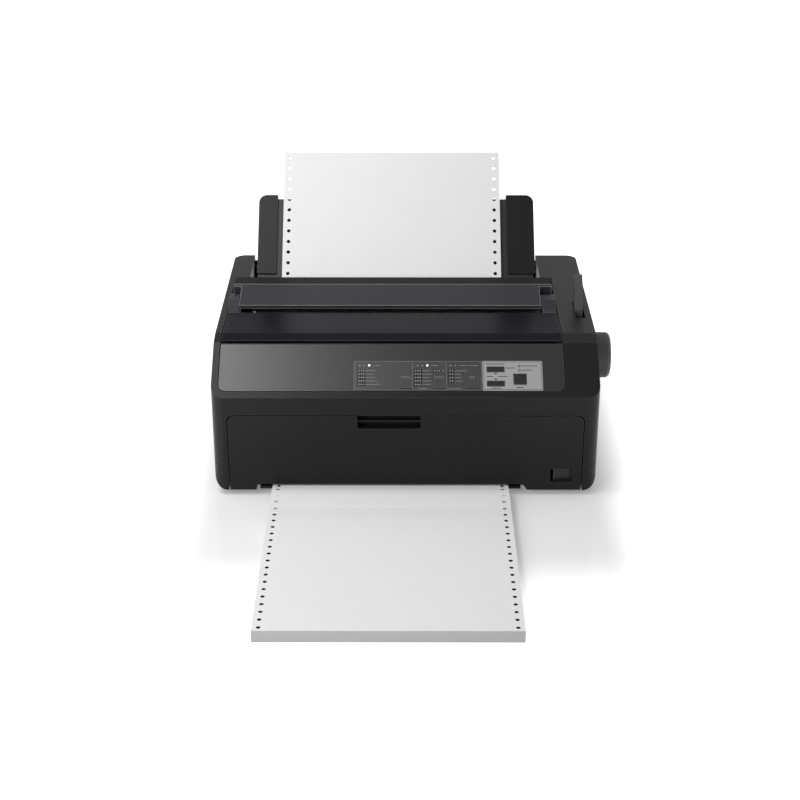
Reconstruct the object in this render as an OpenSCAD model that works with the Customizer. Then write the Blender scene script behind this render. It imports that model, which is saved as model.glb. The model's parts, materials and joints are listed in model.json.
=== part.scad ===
// Desktop dot matrix printer, loaded with fanfold paper from the front slot.
// Millimetres. +X is to the user's right, +Y is to the rear, +Z is up.
// The origin lies on the desk, midway between the walls of the case.

/* [Case] */
// Width of the case, left wall to right wall
body_w = 391; // [340:1:470]
// Depth of the case, front face to rear wall
body_d = 300; // [270:1:360]
// Height of the top of the case above the desk
top_h = 150; // [148:1:180]
// Height of the front edge where the sloping control panel starts
ledge_h = 109.3; // [100:0.1:111]
// Slope of the control panel
panel_angle = 36; // [30:1:36]
// Depth taken by the control panel slope
panel_run = 52; // [44:1:52]
// Wall of the case and covers
wall = 2.5; // [2:0.1:3]
// Radius of the four upright corners
corner_r = 12; // [8:1:20]
// Radius of the lower left and lower right edges
belly_r = 14; // [8:1:20]
// Height of the seam between the lower and upper case
seam_h = 33; // [30:1:40]
// Width of the rim to the left of the covers
rim_w = 6.6; // [5:0.1:12]
// Width of the column to the right of the covers
column_w = 34.6; // [32:0.1:50]
// Height of the rubber feet
foot_h = 5; // [3:0.5:8]
// Radius of the rubber feet
foot_r = 9; // [6:0.5:12]
// Distance from the foot centres to the walls of the case
foot_inset = 30; // [26:1:40]

/* [Gaps] */
// Shadow gap that shows between a cover and its surround
cover_gap = 1.1; // [0.6:0.1:1.2]
// Clearance between pieces that sit on or pass each other
fit_gap = 0.3; // [0.2:0.05:0.4]
// Radial running clearance of pins and shafts
run_gap = 0.05; // [0.02:0.01:0.09]

/* [Front cover] */
// Width of the front cover
front_cover_w = 359; // [300:1:440]
// Height of its top edge above the desk
front_cover_top = 88.8; // [80:0.1:98]
// Radius of its upper corners
front_cover_r = 7; // [3:0.5:12]
// Height of the finger pull notch
pull_h = 14; // [12:0.5:20]
// Width of the finger pull notch
pull_w = 64; // [50:1:90]
// Width of the paper slot under the front cover
slot_w = 271.4; // [250:0.1:285]
// Height of the upper edge of the paper slot above the desk
slot_top = 11.9; // [11.8:0.1:14]

/* [Control panel] */
// Width of the dark legend plate
dark_plate_w = 129.7; // [120:0.1:140]
// Width of the light legend plate
light_plate_w = 60.7; // [56:0.1:66]
// Length of both legend plates down the slope
legend_len = 34.3; // [32:0.1:38]
// Distance from the lower edge of the slope to the legend plates
legend_start = 8.3; // [8.3:0.1:12]
// Side of a square button
square_button = 11; // [9:0.1:12]
// Width of a long button
long_button_w = 17.3; // [14:0.1:19]
// Length of a long button down the slope
long_button_l = 6; // [5:0.1:7]
// Travel of the buttons
button_travel = 1; // [0.6:0.1:1.2]

/* [Top covers] */
// Depth of the smoked cover's rear edge behind the front face
smoked_end = 125; // [110:1:128]
// Depth of the exit cover's front edge behind the front face
bar_start = 135; // [133:1:140]
// Depth of the exit cover's ridge behind the front face
bar_ridge = 175; // [168:1:182]
// Depth of the exit cover's rear edge behind the front face
bar_end = 198; // [190:1:198]
// Height of the exit cover's ridge above the desk
bar_h = 163; // [162:1:176]
// Width of the left hinge clip
left_clip_w = 10; // [8:0.5:14]
// Width of the right hinge clip
right_clip_w = 14; // [10:0.5:18]
// Radius of the round end of both clips
clip_r = 11.5; // [9:0.5:12]

/* [Paper guide] */
// Lean of the paper guide and the printed sheet, back from upright
guide_lean = 42.7; // [36:0.1:43]
// Length of the guide plate up its slope
guide_len = 90; // [70:1:120]
// Width of the left edge guide
left_ear_w = 21; // [16:0.5:30]
// Width of the right edge guide
right_ear_w = 30.5; // [20:0.5:40]
// Length of the edge guides above the top of the case
ear_len = 94; // [80:1:130]
// Radius of the edge guides' outer corners
ear_r = 9; // [5:0.5:12]

/* [Platen and feed] */
// Distance of the platen's axis behind the front face
platen_y = 135; // [132:1:140]
// Height of the platen's axis above the desk
platen_z = 97.5; // [95:0.5:98]
// Radius of the platen's rubber
platen_r = 17; // [15:0.5:18]
// Radius of the platen's shaft
platen_shaft_r = 5; // [4:0.5:6]
// Radius of the platen knob
knob_r = 24.5; // [20:0.5:27]
// Width of the platen knob along its axis
knob_w = 22; // [18:0.5:26]
// Module of the paper feed gears
gear_module = 1; // [0.8:0.1:1]
// Teeth of the platen gear
platen_teeth = 50; // [40:1:50]
// Teeth of each idler gear
idler_teeth = 33; // [27:2:33]
// Teeth of the tractor gear
tractor_teeth = 30; // [26:2:30]
// Teeth of the feed motor pinion
pinion_teeth = 14; // [12:1:18]
// Width of the feed gears
gear_w = 6; // [4:0.5:7]
// Play between meshing teeth, along the pitch circle
backlash = 0.16; // [0.1:0.02:0.3]
// Direction of the gear train from the platen down to the tractors
train_angle = 36.8; // [34:0.2:38]

/* [Carriage] */
// Travel of the print head
print_travel = 203; // [180:1:203]
// Radius of the carriage shaft
carriage_shaft_r = 6; // [5:0.5:7]
// Width of the carriage
carriage_w = 46; // [38:1:48]
// Width of the print head
head_w = 38; // [30:1:40]
// Pitch radius of the belt pulleys
pulley_r = 6; // [5:0.5:7]

/* [Tractors] */
// Width of one tractor
tractor_w = 22; // [18:1:24]
// Pins on each tractor wheel
wheel_pins = 6; // [6:1:8]
// Radius of the tractors' support rail
tractor_rail_r = 4; // [3:0.5:5]

/* [Paper] */
// Width of the fanfold paper
paper_w = 241.3; // [203.2:0.1:241.3]
// Length of a folded page
page_len = 215.9; // [152.4:0.1:304.8]
// Distance between the feed holes
hole_pitch = 12.7; // [12.7:0.1:12.7]
// Radius of the feed holes
hole_r = 2; // [1.8:0.1:2.2]
// Distance from the paper's edge to the hole centres
hole_inset = 6.35; // [6:0.05:7]
// Height of the stack in front of the printer
stack_h = 12; // [8:0.5:40]
// Distance from the front face to the nearest edge of the stack
stack_gap = 56; // [50:1:80]
// Thickness that stands in for one sheet
sheet_t = 0.8; // [0.6:0.1:1]
// Length of the printed sheet above the top of the case
sheet_len = 146; // [60:1:200]

/* [Hidden] */
$fn = 48;

// Colours as the photograph shows them
case_black = [0.13, 0.13, 0.135];
cover_black = [0.17, 0.17, 0.18];
smoke = [0.10, 0.10, 0.13, 0.75];
knob_grey = [0.32, 0.33, 0.34];
legend_grey = [0.66, 0.67, 0.68];
steel = [0.70, 0.71, 0.73];
rubber_black = [0.08, 0.08, 0.08];
gear_white = [0.86, 0.86, 0.82];
board_green = [0.10, 0.32, 0.18];
paper_white = [0.95, 0.95, 0.96];

// Case outline
kink_h = ledge_h + panel_run * tan(panel_angle);
rise_run = 18;
rise_angle = atan((top_h - kink_h) / rise_run);
slope_len = panel_run / cos(panel_angle);
half_w = body_w / 2;
bay_left = -half_w + rim_w;
bay_right = half_w - column_w;
well_left = bay_left + 16;
well_right = bay_right - 11.3;
well_front = bar_end + 10;
deck_h = 120;
seat_t = 2;
seat_w = 4;

// Paper
paper_shift = -1.3;
paper_x = (bay_left + bay_right) / 2 + paper_shift;
pull_x = paper_x - 1.3;
paper_half = paper_w / 2;
hole_x = paper_half - hole_inset;

// Front cover and its hinge
hinge_y = 2.4;
hinge_z = slot_top + 0.3;
hinge_r = 1.5;
hinge_pin_len = 5;
lip_y = 11;
rib_top = 8.3;
web_top = 9.4;

// Frames and mechanism
frame_t = 2;
frame_left = bay_left + 24;
frame_right = bay_right - 11;
frame_bottom = foot_h + wall + 1.5;
frame_front = 26;
roller_half = paper_half + 5.5;
knob_x = half_w + 1.5;
gear_x = frame_left - 10;
train = [-cos(train_angle), -sin(train_angle)];
platen_c = [platen_y, platen_z];
platen_pitch = gear_module * platen_teeth / 2;
idler_pitch = gear_module * idler_teeth / 2;
tractor_pitch = gear_module * tractor_teeth / 2;
pinion_pitch = gear_module * pinion_teeth / 2;
idler_rear_c = platen_c + train * (platen_pitch + idler_pitch);
idler_front_c = idler_rear_c + train * 2 * idler_pitch;
tractor_c = idler_front_c + train * (idler_pitch + tractor_pitch);
rail_c = tractor_c + [20, -12];
pinion_angle = -45;
pinion_c = platen_c + (platen_pitch + pinion_pitch) * [cos(pinion_angle), sin(pinion_angle)];
stub_r = 3;
motor_boss_r = 5;
bush_r = 9;
rocker_tilt = 8;

// Tractors
wheel_r = wheel_pins * hole_pitch / (2 * PI);
pin_h = 2.6;
pin_r = 1.5;
square_shaft = 7.6;
journal_r = 4;
hub_r = 7;
cheek_t = 4;
tractor_left_x = paper_x - hole_x;
tractor_right_x = paper_x + hole_x;
flap_z = tractor_c[1] + wheel_r + 0.7;
flap_t = 2.4;
flap_pin_r = 1.2;
wheel_phase = 30;

// Carriage
shaft_c = [85, 64];
head_x = paper_x - print_travel / 2;
belt_y = [96, 102];
belt_z = 58;
belt_t = 2;
idler_pulley_x = frame_left + 15;
motor_pulley_x = frame_right - 22;
ribbon_y = platen_y - platen_r - 2.4;
rail_top = 49.5;

// Hinge axes of the covers, the guide and the lever, as depth and height
clip_axis = [158, top_h - 4.5];
exit_axis = [216, top_h - 4];
sheet_foot = [212.8, top_h + 11.4];
guide_axis_s = -16;
guide_axis_n = 8;
lean_up = [sin(guide_lean), cos(guide_lean)];
lean_back = [cos(guide_lean), -sin(guide_lean)];
guide_axis = sheet_foot + guide_axis_s * lean_up + guide_axis_n * lean_back;
lever_axis = [138, top_h - 25];
lever_x = half_w - 11.7;
lever_w = 8.6;
clip_pin_r = 2.5;
exit_pin_r = 2;
guide_pin_r = 2.5;
guide_post_w = 3.5;
exit_boss_w = 6;
pocket_end = exit_axis[0] + 6;
platen_hole_r = platen_shaft_r + 1.5;

// Paper guide, edge guides and the exit pan behind the sheet
guide_n = 3;
guide_t = 3;
ear_t = 2.2;
left_ear_x = [paper_x - paper_half - 6.6 - left_ear_w, paper_x - paper_half - 6.6];
right_ear_x = [paper_x + paper_half + 7, paper_x + paper_half + 7 + right_ear_w];
sheet_low = -33;
pan_z = tractor_c[1] + wheel_r - 1.8;
pan_t = 1.2;

// Panel, buttons and power switch
legend_x = bay_right - 83.6;
plate_t = 0.4;
button_proud = 0.6;
button_gap = 0.4;
mode_buttons = [[legend_x - 76.35, 16.6], [legend_x - 43.1, 16.6], [legend_x - 9, 16.6]];
long_buttons = [[legend_x + 13.45, 32.85], [legend_x + 13.45, 16.4]];
pause_button_at = [legend_x + 37.85, 21.5];
board_panel_x = [legend_x - 137.3, legend_x + 64.7];
board_panel_z = -12;
pull_z = front_cover_top - pull_h;
rocker_x = [front_cover_w / 2 - 30.7, front_cover_w / 2 - 10.4];
rocker_z = [15.3, 28.3];
rocker_axis = [(rocker_x[0] + rocker_x[1]) / 2, 13];

// Boards and sockets at the rear
board_x = [frame_left + 6, frame_left + 206];
board_y = [205, body_d - wall - 0.3];
board_z = 36;
parallel_x = [frame_left + 20, frame_left + 92];
parallel_z = [board_z + 2, board_z + 15];
usb_x = [frame_left + 120, frame_left + 133];
usb_z = [board_z + 2, board_z + 13.5];
supply_x = [bay_right - 101, bay_right - 12];
supply_y = [198, body_d - 28];
inlet_x = [bay_right - 44, bay_right - 16];
inlet_z = [40, 61];

// The pair of limits a and b beyond c
function span(c, a, b) = [c + a, c + b];

// Turns a distance behind the front face into a Y coordinate
function fy(d) = d - body_d / 2;

// Points on an arc about c
function arc(c, r, a0, a1, steps) =
    [for (i = [0:steps]) c + r * [cos(a0 + (a1 - a0) * i / steps), sin(a0 + (a1 - a0) * i / steps)]];

// Normal of a line that runs at angle a, pointing to its right
function normal(a) = [sin(a), -cos(a)];

// Corner p between lines at angles a and b, moved inwards by t
function inset(p, a, b, t) = p + t * (normal(a) + normal(b)) / (1 + normal(a) * normal(b));

// Side view of the case as depth and height, moved inwards by t
function case_outline(t) = [
    inset([0, foot_h], 180, 90, t),
    inset([0, ledge_h], 90, panel_angle, t),
    inset([panel_run, kink_h], panel_angle, rise_angle, t),
    inset([panel_run + rise_run, top_h], rise_angle, 0, t),
    inset([body_d, top_h], 0, -90, t),
    inset([body_d, foot_h], -90, -180, t)
];

// A band of thickness t to the right of a path
function path_angle(p, i) = atan2(p[i + 1][1] - p[i][1], p[i + 1][0] - p[i][0]);
function path_side(p, t) = [
    for (i = [0:len(p) - 1])
        let (a = path_angle(p, max(i - 1, 0)), b = path_angle(p, min(i, len(p) - 2)))
            inset(p[i], a, b, t)
];
function reversed(p) = [for (i = [len(p) - 1:-1:0]) p[i]];
function band(p, t) = concat(p, reversed(path_side(p, t)));

// Involute gear teeth
function involute(a) = tan(a) * 180 / PI - a;
function tooth_half(n, r) =
    let (rp = gear_module * n / 2, rb = rp * cos(20), a = acos(min(1, rb / r)))
        90 / n - backlash * 90 / (PI * rp) + involute(20) - involute(a);
function gear_outline(n) =
    let (
        rp = gear_module * n / 2,
        radii = [for (d = [-1.2, -0.5, 0, 0.5, 0.92]) rp + d * gear_module],
        m = len(radii)
    )
    [
        for (k = [0:n - 1], j = [-m:m])
            if (j != 0)
                let (r = radii[m - abs(j)], a = 360 * k / n + sign(j) * tooth_half(n, r))
                    r * [cos(a), sin(a)]
    ];
// Angle of a tooth on a gear with nb teeth that meshes with a gear at direction d
function mesh_phase(d, phase, na, nb) = d + 180 + 180 / nb - (phase - d) * na / nb;

train_dir = 180 + train_angle;
platen_phase = train_dir;
idler_rear_phase = mesh_phase(train_dir, platen_phase, platen_teeth, idler_teeth);
idler_front_phase = mesh_phase(train_dir, idler_rear_phase, idler_teeth, idler_teeth);
tractor_phase = mesh_phase(train_dir, idler_front_phase, idler_teeth, tractor_teeth);
pinion_phase = mesh_phase(pinion_angle, platen_phase, platen_teeth, pinion_teeth);

// A box between two values on each axis, with Y counted from the front face
module slab(x, y, z) {
    translate([x[0], fy(y[0]), z[0]])
        cube([x[1] - x[0], y[1] - y[0], z[1] - z[0]]);
}

// Draws a side view, given as depth and height, and extends it from x0 to x1
module along_x(x0, x1) {
    translate([x0, fy(0), 0])
        rotate([90, 0, 90])
            linear_extrude(x1 - x0)
                children();
}

// Draws a front view, given as X and height, and extends it back from y0 to y1
module along_y(y0, y1) {
    translate([0, fy(y1), 0])
        rotate([90, 0, 0])
            linear_extrude(y1 - y0)
                children();
}

// A round bar along X at a point given as depth and height
module rod_x(c, r, x0, x1) {
    translate([x0, fy(c[0]), c[1]])
        rotate([0, 90, 0])
            cylinder(r = r, h = x1 - x0);
}

// A round bar along Y
module rod_y(x, z, r, y0, y1) {
    translate([x, fy(y1), z])
        rotate([90, 0, 0])
            cylinder(r = r, h = y1 - y0);
}

// Frame of the control panel: X across, Y up the slope, Z out of it
module on_slope() {
    translate([0, fy(0), ledge_h])
        rotate([panel_angle, 0, 0])
            children();
}

// Frame of the paper guide: X across, Y to the back of the sheet, Z up along it
module on_guide() {
    translate([0, fy(sheet_foot[0]), sheet_foot[1]])
        rotate([-guide_lean, 0, 0])
            children();
}

module block(x, y, z) {
    translate([x[0], y[0], z[0]])
        cube([x[1] - x[0], y[1] - y[0], z[1] - z[0]]);
}

// A rectangle with round corners, x and y each a pair of limits
module round_rect(x, y, r) {
    translate([x[0] + r, y[0]])
        square([x[1] - x[0] - 2 * r, y[1] - y[0]]);
    translate([x[0], y[0] + r])
        square([x[1] - x[0], y[1] - y[0] - 2 * r]);
    for (cx = [x[0] + r, x[1] - r], cy = [y[0] + r, y[1] - r])
        translate([cx, cy])
            circle(r);
}

// The whole case as one solid, moved inwards by t
module case_solid(t) {
    intersection() {
        along_x(-half_w + t, half_w - t)
            polygon(case_outline(t));
        translate([0, 0, foot_h + t])
            linear_extrude(top_h)
                round_rect([-half_w + t, half_w - t], [fy(t), fy(body_d - t)], corner_r - t);
        along_y(t, body_d - t)
            round_rect([-half_w + t, half_w - t], [foot_h + t, top_h + 2 * belly_r], belly_r - t);
    }
}

// Everything of the case above or below the seam
module seam_side(upper) {
    slab([-body_w, body_w], [-1, body_d + 1], upper ? [seam_h, top_h + 1] : [0, seam_h]);
}

// Front view of the front cover, grown by g
module front_cover_shape(g) {
    x = [-front_cover_w / 2 - g, front_cover_w / 2 + g];
    difference() {
        union() {
            round_rect(x, [foot_h + 0.3 - g, front_cover_top + g], front_cover_r);
            translate([x[0], foot_h + 0.3 - g])
                square([x[1] - x[0], front_cover_r]);
        }
        if (g == 0)
            polygon([
                [paper_x - slot_w / 2 - 2, foot_h - 1], [paper_x - slot_w / 2, slot_top],
                [paper_x + slot_w / 2, slot_top], [paper_x + slot_w / 2 + 5, foot_h - 1]
            ]);
    }
}

// Outline of the panel on its slope, made smaller all round by g
module panel_shape(g, top) {
    r = 9 - g;
    round_rect([bay_left + g, bay_right - g], [rim_w + g, top], r);
    translate([bay_left + g, rim_w + g + r])
        square([bay_right - bay_left - 2 * g, top - rim_w - g - r]);
}

// Everything above the seats inside the bay for the panel and the top covers
module bay_cut() {
    difference() {
        union() {
            on_slope()
                translate([0, 0, -10])
                    linear_extrude(40)
                        panel_shape(0, slope_len + 10);
            slab([bay_left, bay_right], [panel_run, well_front], [ledge_h, top_h + 1]);
        }
        along_x(-half_w, half_w)
            polygon(case_outline(wall + fit_gap));
    }
}

module foot_place() {
    for (x = [-half_w + foot_inset, half_w - foot_inset], y = [foot_inset, body_d - foot_inset])
        translate([x, fy(y), 0])
            children();
}

module board_posts() {
    for (x = [board_x[0] + 5, board_x[1] - 5], y = [board_y[0] + 5, board_y[1] - 12])
        translate([x, fy(y), foot_h + wall])
            cylinder(r = 3.5, h = board_z - foot_h - wall);
}

module lower_case() {
    color(case_black)
        difference() {
            union() {
                intersection() {
                    difference() {
                        case_solid(0);
                        case_solid(wall);
                    }
                    seam_side(false);
                }
                intersection() {
                    case_solid(0);
                    for (x = [[-half_w, -front_cover_w / 2 - cover_gap], [front_cover_w / 2 + cover_gap, half_w]])
                        slab(x, [0, lip_y + 3], [foot_h, 18]);
                }
                // lip and ribs that carry the paper into the slot
                slab([paper_x - slot_w / 2 + 2, paper_x + slot_w / 2 - 2], [3, lip_y + 1], [foot_h, foot_h + wall]);
                for (i = [-3:3])
                    slab([paper_x + i * 36 - 1, paper_x + i * 36 + 1], [3, 40], [foot_h + wall, rib_top]);
                // rails under the two side frames and the pan between them
                for (x = [frame_left - frame_t, frame_right])
                    slab([x - 1, x + frame_t + 1], [frame_front, platen_y + 61], [foot_h + wall, frame_bottom]);
                for (y = [44, 110, 180])
                    slab([frame_left + 10, frame_right - 10], [y, y + 3], [foot_h + wall, frame_bottom]);
                board_posts();
                slab(rocker_x, [12, 20], [foot_h + wall, rocker_z[0] - 2.6]);
                foot_place()
                    translate([0, 0, foot_h + wall])
                        cylinder(r = foot_r + 2, h = frame_bottom - foot_h - wall);
            }
            slab(
                [-front_cover_w / 2 - cover_gap, front_cover_w / 2 + cover_gap],
                [-1, 3], [foot_h - 1, seam_h + 1]
            );
            difference() {
                slab(
                    [-front_cover_w / 2 - cover_gap, front_cover_w / 2 + cover_gap],
                    [0, lip_y], [foot_h - 1, seam_h + 1]
                );
                slab([paper_x - slot_w / 2 + 2, paper_x + slot_w / 2 - 2], [3, lip_y + 1], [0, rib_top]);
            }
            // sockets for the pins of the front cover
            for (s = [-1, 1])
                rod_x(
                    [hinge_y, hinge_z], hinge_r + run_gap,
                    s > 0 ? front_cover_w / 2 - 1 : -front_cover_w / 2 - hinge_pin_len - 1,
                    s > 0 ? front_cover_w / 2 + hinge_pin_len + 1 : -front_cover_w / 2 + 1
                );
            // sockets for the rubber feet
            foot_place()
                translate([0, 0, foot_h - 1])
                    cylinder(r = foot_r - 2, h = 3.5);
            // cooling slots in the floor
            for (i = [0:8])
                slab([20 + i * 12, 25 + i * 12], [215, 275], [foot_h - 1, foot_h + wall + 1]);
        }
}

module rear_slots() {
    for (i = [0:9])
        slab([bay_left + 12 + i * 7, bay_left + 16 + i * 7], [body_d - wall - 1, body_d + 1], [72, 104]);
    for (i = [0:9])
        for (side = [[-half_w - 1, -half_w + wall + 1], [half_w - wall - 1, half_w + 1]])
            slab(side, [215 + i * 7, 219 + i * 7], [60, 84]);
}

// A post for one end of the paper guide's axis
module guide_post(x) {
    along_x(x, x + guide_post_w)
        union() {
            translate(guide_axis)
                circle(6);
            translate([guide_axis[0] - 6, deck_h - wall])
                square([12, guide_axis[1] - deck_h + wall]);
        }
}

module upper_case_walls() {
    intersection() {
        difference() {
            case_solid(0);
            case_solid(wall);
        }
        seam_side(true);
    }
    intersection() {
        case_solid(0);
        union() {
            // walls and deck of the well behind the exit cover
            slab([well_left - wall, well_right + wall], [well_front, body_d], [deck_h - wall, top_h]);
            // walls along both sides of the bay
            for (x = [bay_left - wall, bay_right])
                slab([x, x + wall], [panel_run + 10, pocket_end + 2], [top_h - 16, top_h]);
            for (x = [[bay_left, well_left], [well_right, bay_right]])
                slab(x, [pocket_end, pocket_end + 2], [top_h - 16, top_h]);
            // bosses for the pins of the smoked cover and the exit cover
            rod_x(clip_axis, 4.4, -half_w, bay_left);
            rod_x(clip_axis, 4.4, bay_right, bay_right + 8);
            rod_x(exit_axis, 4.4, bay_left, bay_left + exit_boss_w);
            rod_x(exit_axis, 4.4, bay_right, bay_right + 6);
        }
    }
    // seats under the panel and the smoked cover
    intersection() {
        along_x(bay_left - 2, bay_right + 2)
            difference() {
                polygon(case_outline(wall));
                polygon(case_outline(wall + fit_gap + seat_t));
            }
        union() {
            for (x = [[bay_left - 2, bay_left + seat_w], [bay_right - seat_w, bay_right + 2]])
                slab(x, [4, smoked_end - 18], [ledge_h - 8, top_h]);
            slab([bay_left, bay_right], [3, 10], [ledge_h - 8, top_h]);
        }
    }
    // screw posts at the four corners of the seam
    for (x = [-half_w + 6, half_w - 6], y = [24, body_d - 16])
        translate([x, fy(y), seam_h])
            cylinder(r = 4, h = 14);
}

module upper_case() {
    color(case_black) {
        difference() {
            upper_case_walls();
            along_y(-1, 5)
                front_cover_shape(cover_gap);
            bay_cut();
            on_slope()
                translate([bay_left, slope_len - wall, -wall])
                    rotate([0, 90, 0])
                        cylinder(r = wall + fit_gap, h = bay_right - bay_left);
            slab([bay_left + seat_w, bay_right - seat_w], [smoked_end - 18, well_front], [0, top_h + 1]);
            // pockets for the hinge arms of the exit cover
            slab([bay_left + exit_boss_w, well_left + 1], [well_front - 1, pocket_end], [top_h - 16, top_h + 1]);
            slab([well_right - 1, bay_right], [well_front - 1, pocket_end], [top_h - 16, top_h + 1]);
            // the well, and the paper entry through its deck
            slab([well_left, well_right], [well_front - 1, body_d + 1], [deck_h, top_h + 1]);
            slab([well_left + 10, well_right - 10], [well_front - 1, well_front + 26], [deck_h - 5, deck_h + 1]);
            // sockets for the hinge pins
            rod_x(clip_axis, clip_pin_r + run_gap, bay_left - 4.5, bay_left + 1);
            rod_x(clip_axis, clip_pin_r + run_gap, bay_right - 1, bay_right + 6);
            rod_x(exit_axis, exit_pin_r + run_gap, bay_left + 1.5, bay_left + exit_boss_w + 1);
            rod_x(exit_axis, exit_pin_r + run_gap, bay_right - 1, bay_right + 4.5);
            // slot for the release lever and hole for the platen's shaft
            slab(
                [lever_x - lever_w / 2 - 1, lever_x + lever_w / 2 + 1],
                [lever_axis[0] - 27, lever_axis[0] + 17], [top_h - 20, top_h + 1]
            );
            rod_x(platen_c, platen_hole_r, half_w - wall - 1, half_w + 1);
            rear_slots();
            connector_openings();
            seam_groove();
        }
        difference() {
            union() {
                guide_post(well_left);
                guide_post(well_right - guide_post_w);
            }
            rod_x(guide_axis, guide_pin_r + run_gap, well_left - 1, well_right + 1);
        }
        // stepped ends of the rear wall on both sides of the paper guide
        for (x = [[well_left - 1, well_left + 8.5], [well_right - 6, well_right + 1]])
            slab(x, [body_d - wall - 1, body_d], [deck_h - 1, top_h - 6]);
        for (x = [[well_left - 1, well_left + 4], [well_right - 3.5, well_right + 1]])
            slab(x, [body_d - 14, body_d - wall], [deck_h - 1, top_h - 9]);
    }
}

module connector_openings() {
    y = [body_d - wall - 1, body_d + 1];
    slab(parallel_x + [-0.5, 0.5], y, parallel_z + [-0.5, 0.5]);
    slab(usb_x + [-0.5, 0.5], y, usb_z + [-0.5, 0.5]);
    slab(inlet_x + [-0.5, 0.5], y, inlet_z + [-0.5, 0.5]);
}

// A shallow groove all round that marks the seam
module seam_groove() {
    difference() {
        slab([-body_w, body_w], [-1, body_d + 1], [seam_h - 1, seam_h + 0.8]);
        linear_extrude(top_h)
            round_rect([-half_w + 0.8, half_w - 0.8], [fy(0.8), fy(body_d - 0.8)], corner_r - 0.8);
    }
}

module rubber_feet() {
    color(rubber_black)
        foot_place()
            union() {
                cylinder(r = foot_r, h = foot_h);
                translate([0, 0, foot_h])
                    cylinder(r = foot_r - 2.3, h = 2.2);
            }
}

module front_cover() {
    color(case_black)
        difference() {
            union() {
                along_y(0, wall)
                    front_cover_shape(0);
                // side flanges with the hinge pins, and stiffening ribs
                for (s = [-1, 1]) {
                    x = s * (front_cover_w / 2 - 1.25);
                    slab([x - 1.25, x + 1.25], [wall - 0.5, 12], [hinge_z - 4, front_cover_top - 8]);
                    rod_x(
                        [hinge_y, hinge_z], hinge_r,
                        s > 0 ? front_cover_w / 2 - 1 : -front_cover_w / 2 - hinge_pin_len,
                        s > 0 ? front_cover_w / 2 + hinge_pin_len : -front_cover_w / 2 + 1
                    );
                }
                for (z = [24, 64])
                    slab([-front_cover_w / 2 + 2, rocker_x[0] - 6], [wall - 0.5, 5], [z, z + 2]);
                // cup and inner lip behind the finger pull
                slab(
                    [pull_x - pull_w / 2 - 2, pull_x + pull_w / 2 + 2],
                    [wall - 0.5, 13], [pull_z - 2, front_cover_top - 2]
                );
            }
            slab([pull_x - pull_w / 2, pull_x + pull_w / 2], [-1, wall + 1], [pull_z, front_cover_top + 1]);
            difference() {
                slab([pull_x - pull_w / 2, pull_x + pull_w / 2], [wall - 1, 11], [pull_z, front_cover_top + 1]);
                slab([pull_x - pull_w, pull_x + pull_w], [5, 12], [pull_z + 5.4, pull_z + 7]);
            }
            slab(rocker_x + [-1, 1], [-1, 13], rocker_z + [-1, 1]);
        }
}

// Holes in the panel and its legend plates, made larger all round by g
module button_holes(g) {
    for (b = mode_buttons)
        translate([b[0] - square_button / 2 - g, b[1] - square_button / 2 - g])
            square(square_button + 2 * g);
    for (b = long_buttons)
        translate([b[0] - long_button_w / 2 - g, b[1] - long_button_l / 2 - g])
            square([long_button_w + 2 * g, long_button_l + 2 * g]);
    translate([pause_button_at[0] - square_button / 2 - 0.8 - g, pause_button_at[1] - square_button / 2 - 0.5 - g])
        square([square_button + 1.6 + 2 * g, square_button + 1 + 2 * g]);
}

module control_panel() {
    color(case_black)
        difference() {
            union() {
                on_slope() {
                    translate([0, 0, -wall])
                        linear_extrude(wall)
                            panel_shape(cover_gap, slope_len - wall);
                    translate([bay_left + cover_gap, slope_len - wall, -wall])
                        rotate([0, 90, 0])
                            cylinder(r = wall, h = bay_right - bay_left - 2 * cover_gap);
                    block(
                        [bay_left + seat_w + 1, bay_right - seat_w - 1],
                        [slope_len - wall - 1, slope_len - wall + 1], [-6, -wall]
                    );
                    // posts that carry the button board
                    for (x = [board_panel_x[0] + 4, board_panel_x[1] - 4], y = [14, 44])
                        translate([x, y, board_panel_z + 1.6])
                            cylinder(r = 2.5, h = -board_panel_z - 1.6 - wall + 0.5);
                }
            }
            on_slope()
                translate([0, 0, -wall - 1])
                    linear_extrude(wall + 2)
                        button_holes(button_gap);
        }
}

module legend_plate(x, grey) {
    color(grey)
        on_slope()
            linear_extrude(plate_t)
                difference() {
                    round_rect(x, [legend_start, legend_start + legend_len], 1.2);
                    button_holes(button_gap);
                }
}

module legend_plate_dark() {
    legend_plate([legend_x - dark_plate_w, legend_x - 0.2], [0.20, 0.20, 0.21]);
}

module legend_plate_light() {
    legend_plate([legend_x + 0.2, legend_x + light_plate_w], legend_grey);
}

// A grid of indicator windows with its lower left one at p
module lamp_grid(p, columns, rows, pitch_x, pitch_y) {
    for (i = [0:columns - 1], j = [0:rows - 1])
        translate([p[0] + i * pitch_x, p[1] + j * pitch_y, plate_t])
            cylinder(r = 0.7, h = 0.3, $fn = 16);
}

module status_lamps() {
    color([0.85, 0.85, 0.80])
        on_slope() {
            lamp_grid([legend_x - 125.5, 14.4], 3, 5, 3.9, 4.6);
            lamp_grid([legend_x - 68.3, 14.4], 3, 5, 3.9, 4.6);
            lamp_grid([legend_x - 33, 16.7], 2, 4, 4.2, 5);
            lamp_grid([legend_x - 47.5, 31.5], 3, 1, 2.2, 1);
            for (x = [legend_x - 114, legend_x - 55.3])
                translate([x, 37.6, plate_t])
                    cylinder(r = 1.2, h = 0.4);
            lamp_grid([legend_x + 37.5, 32.6], 1, 2, 1, 5);
        }
}

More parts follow.
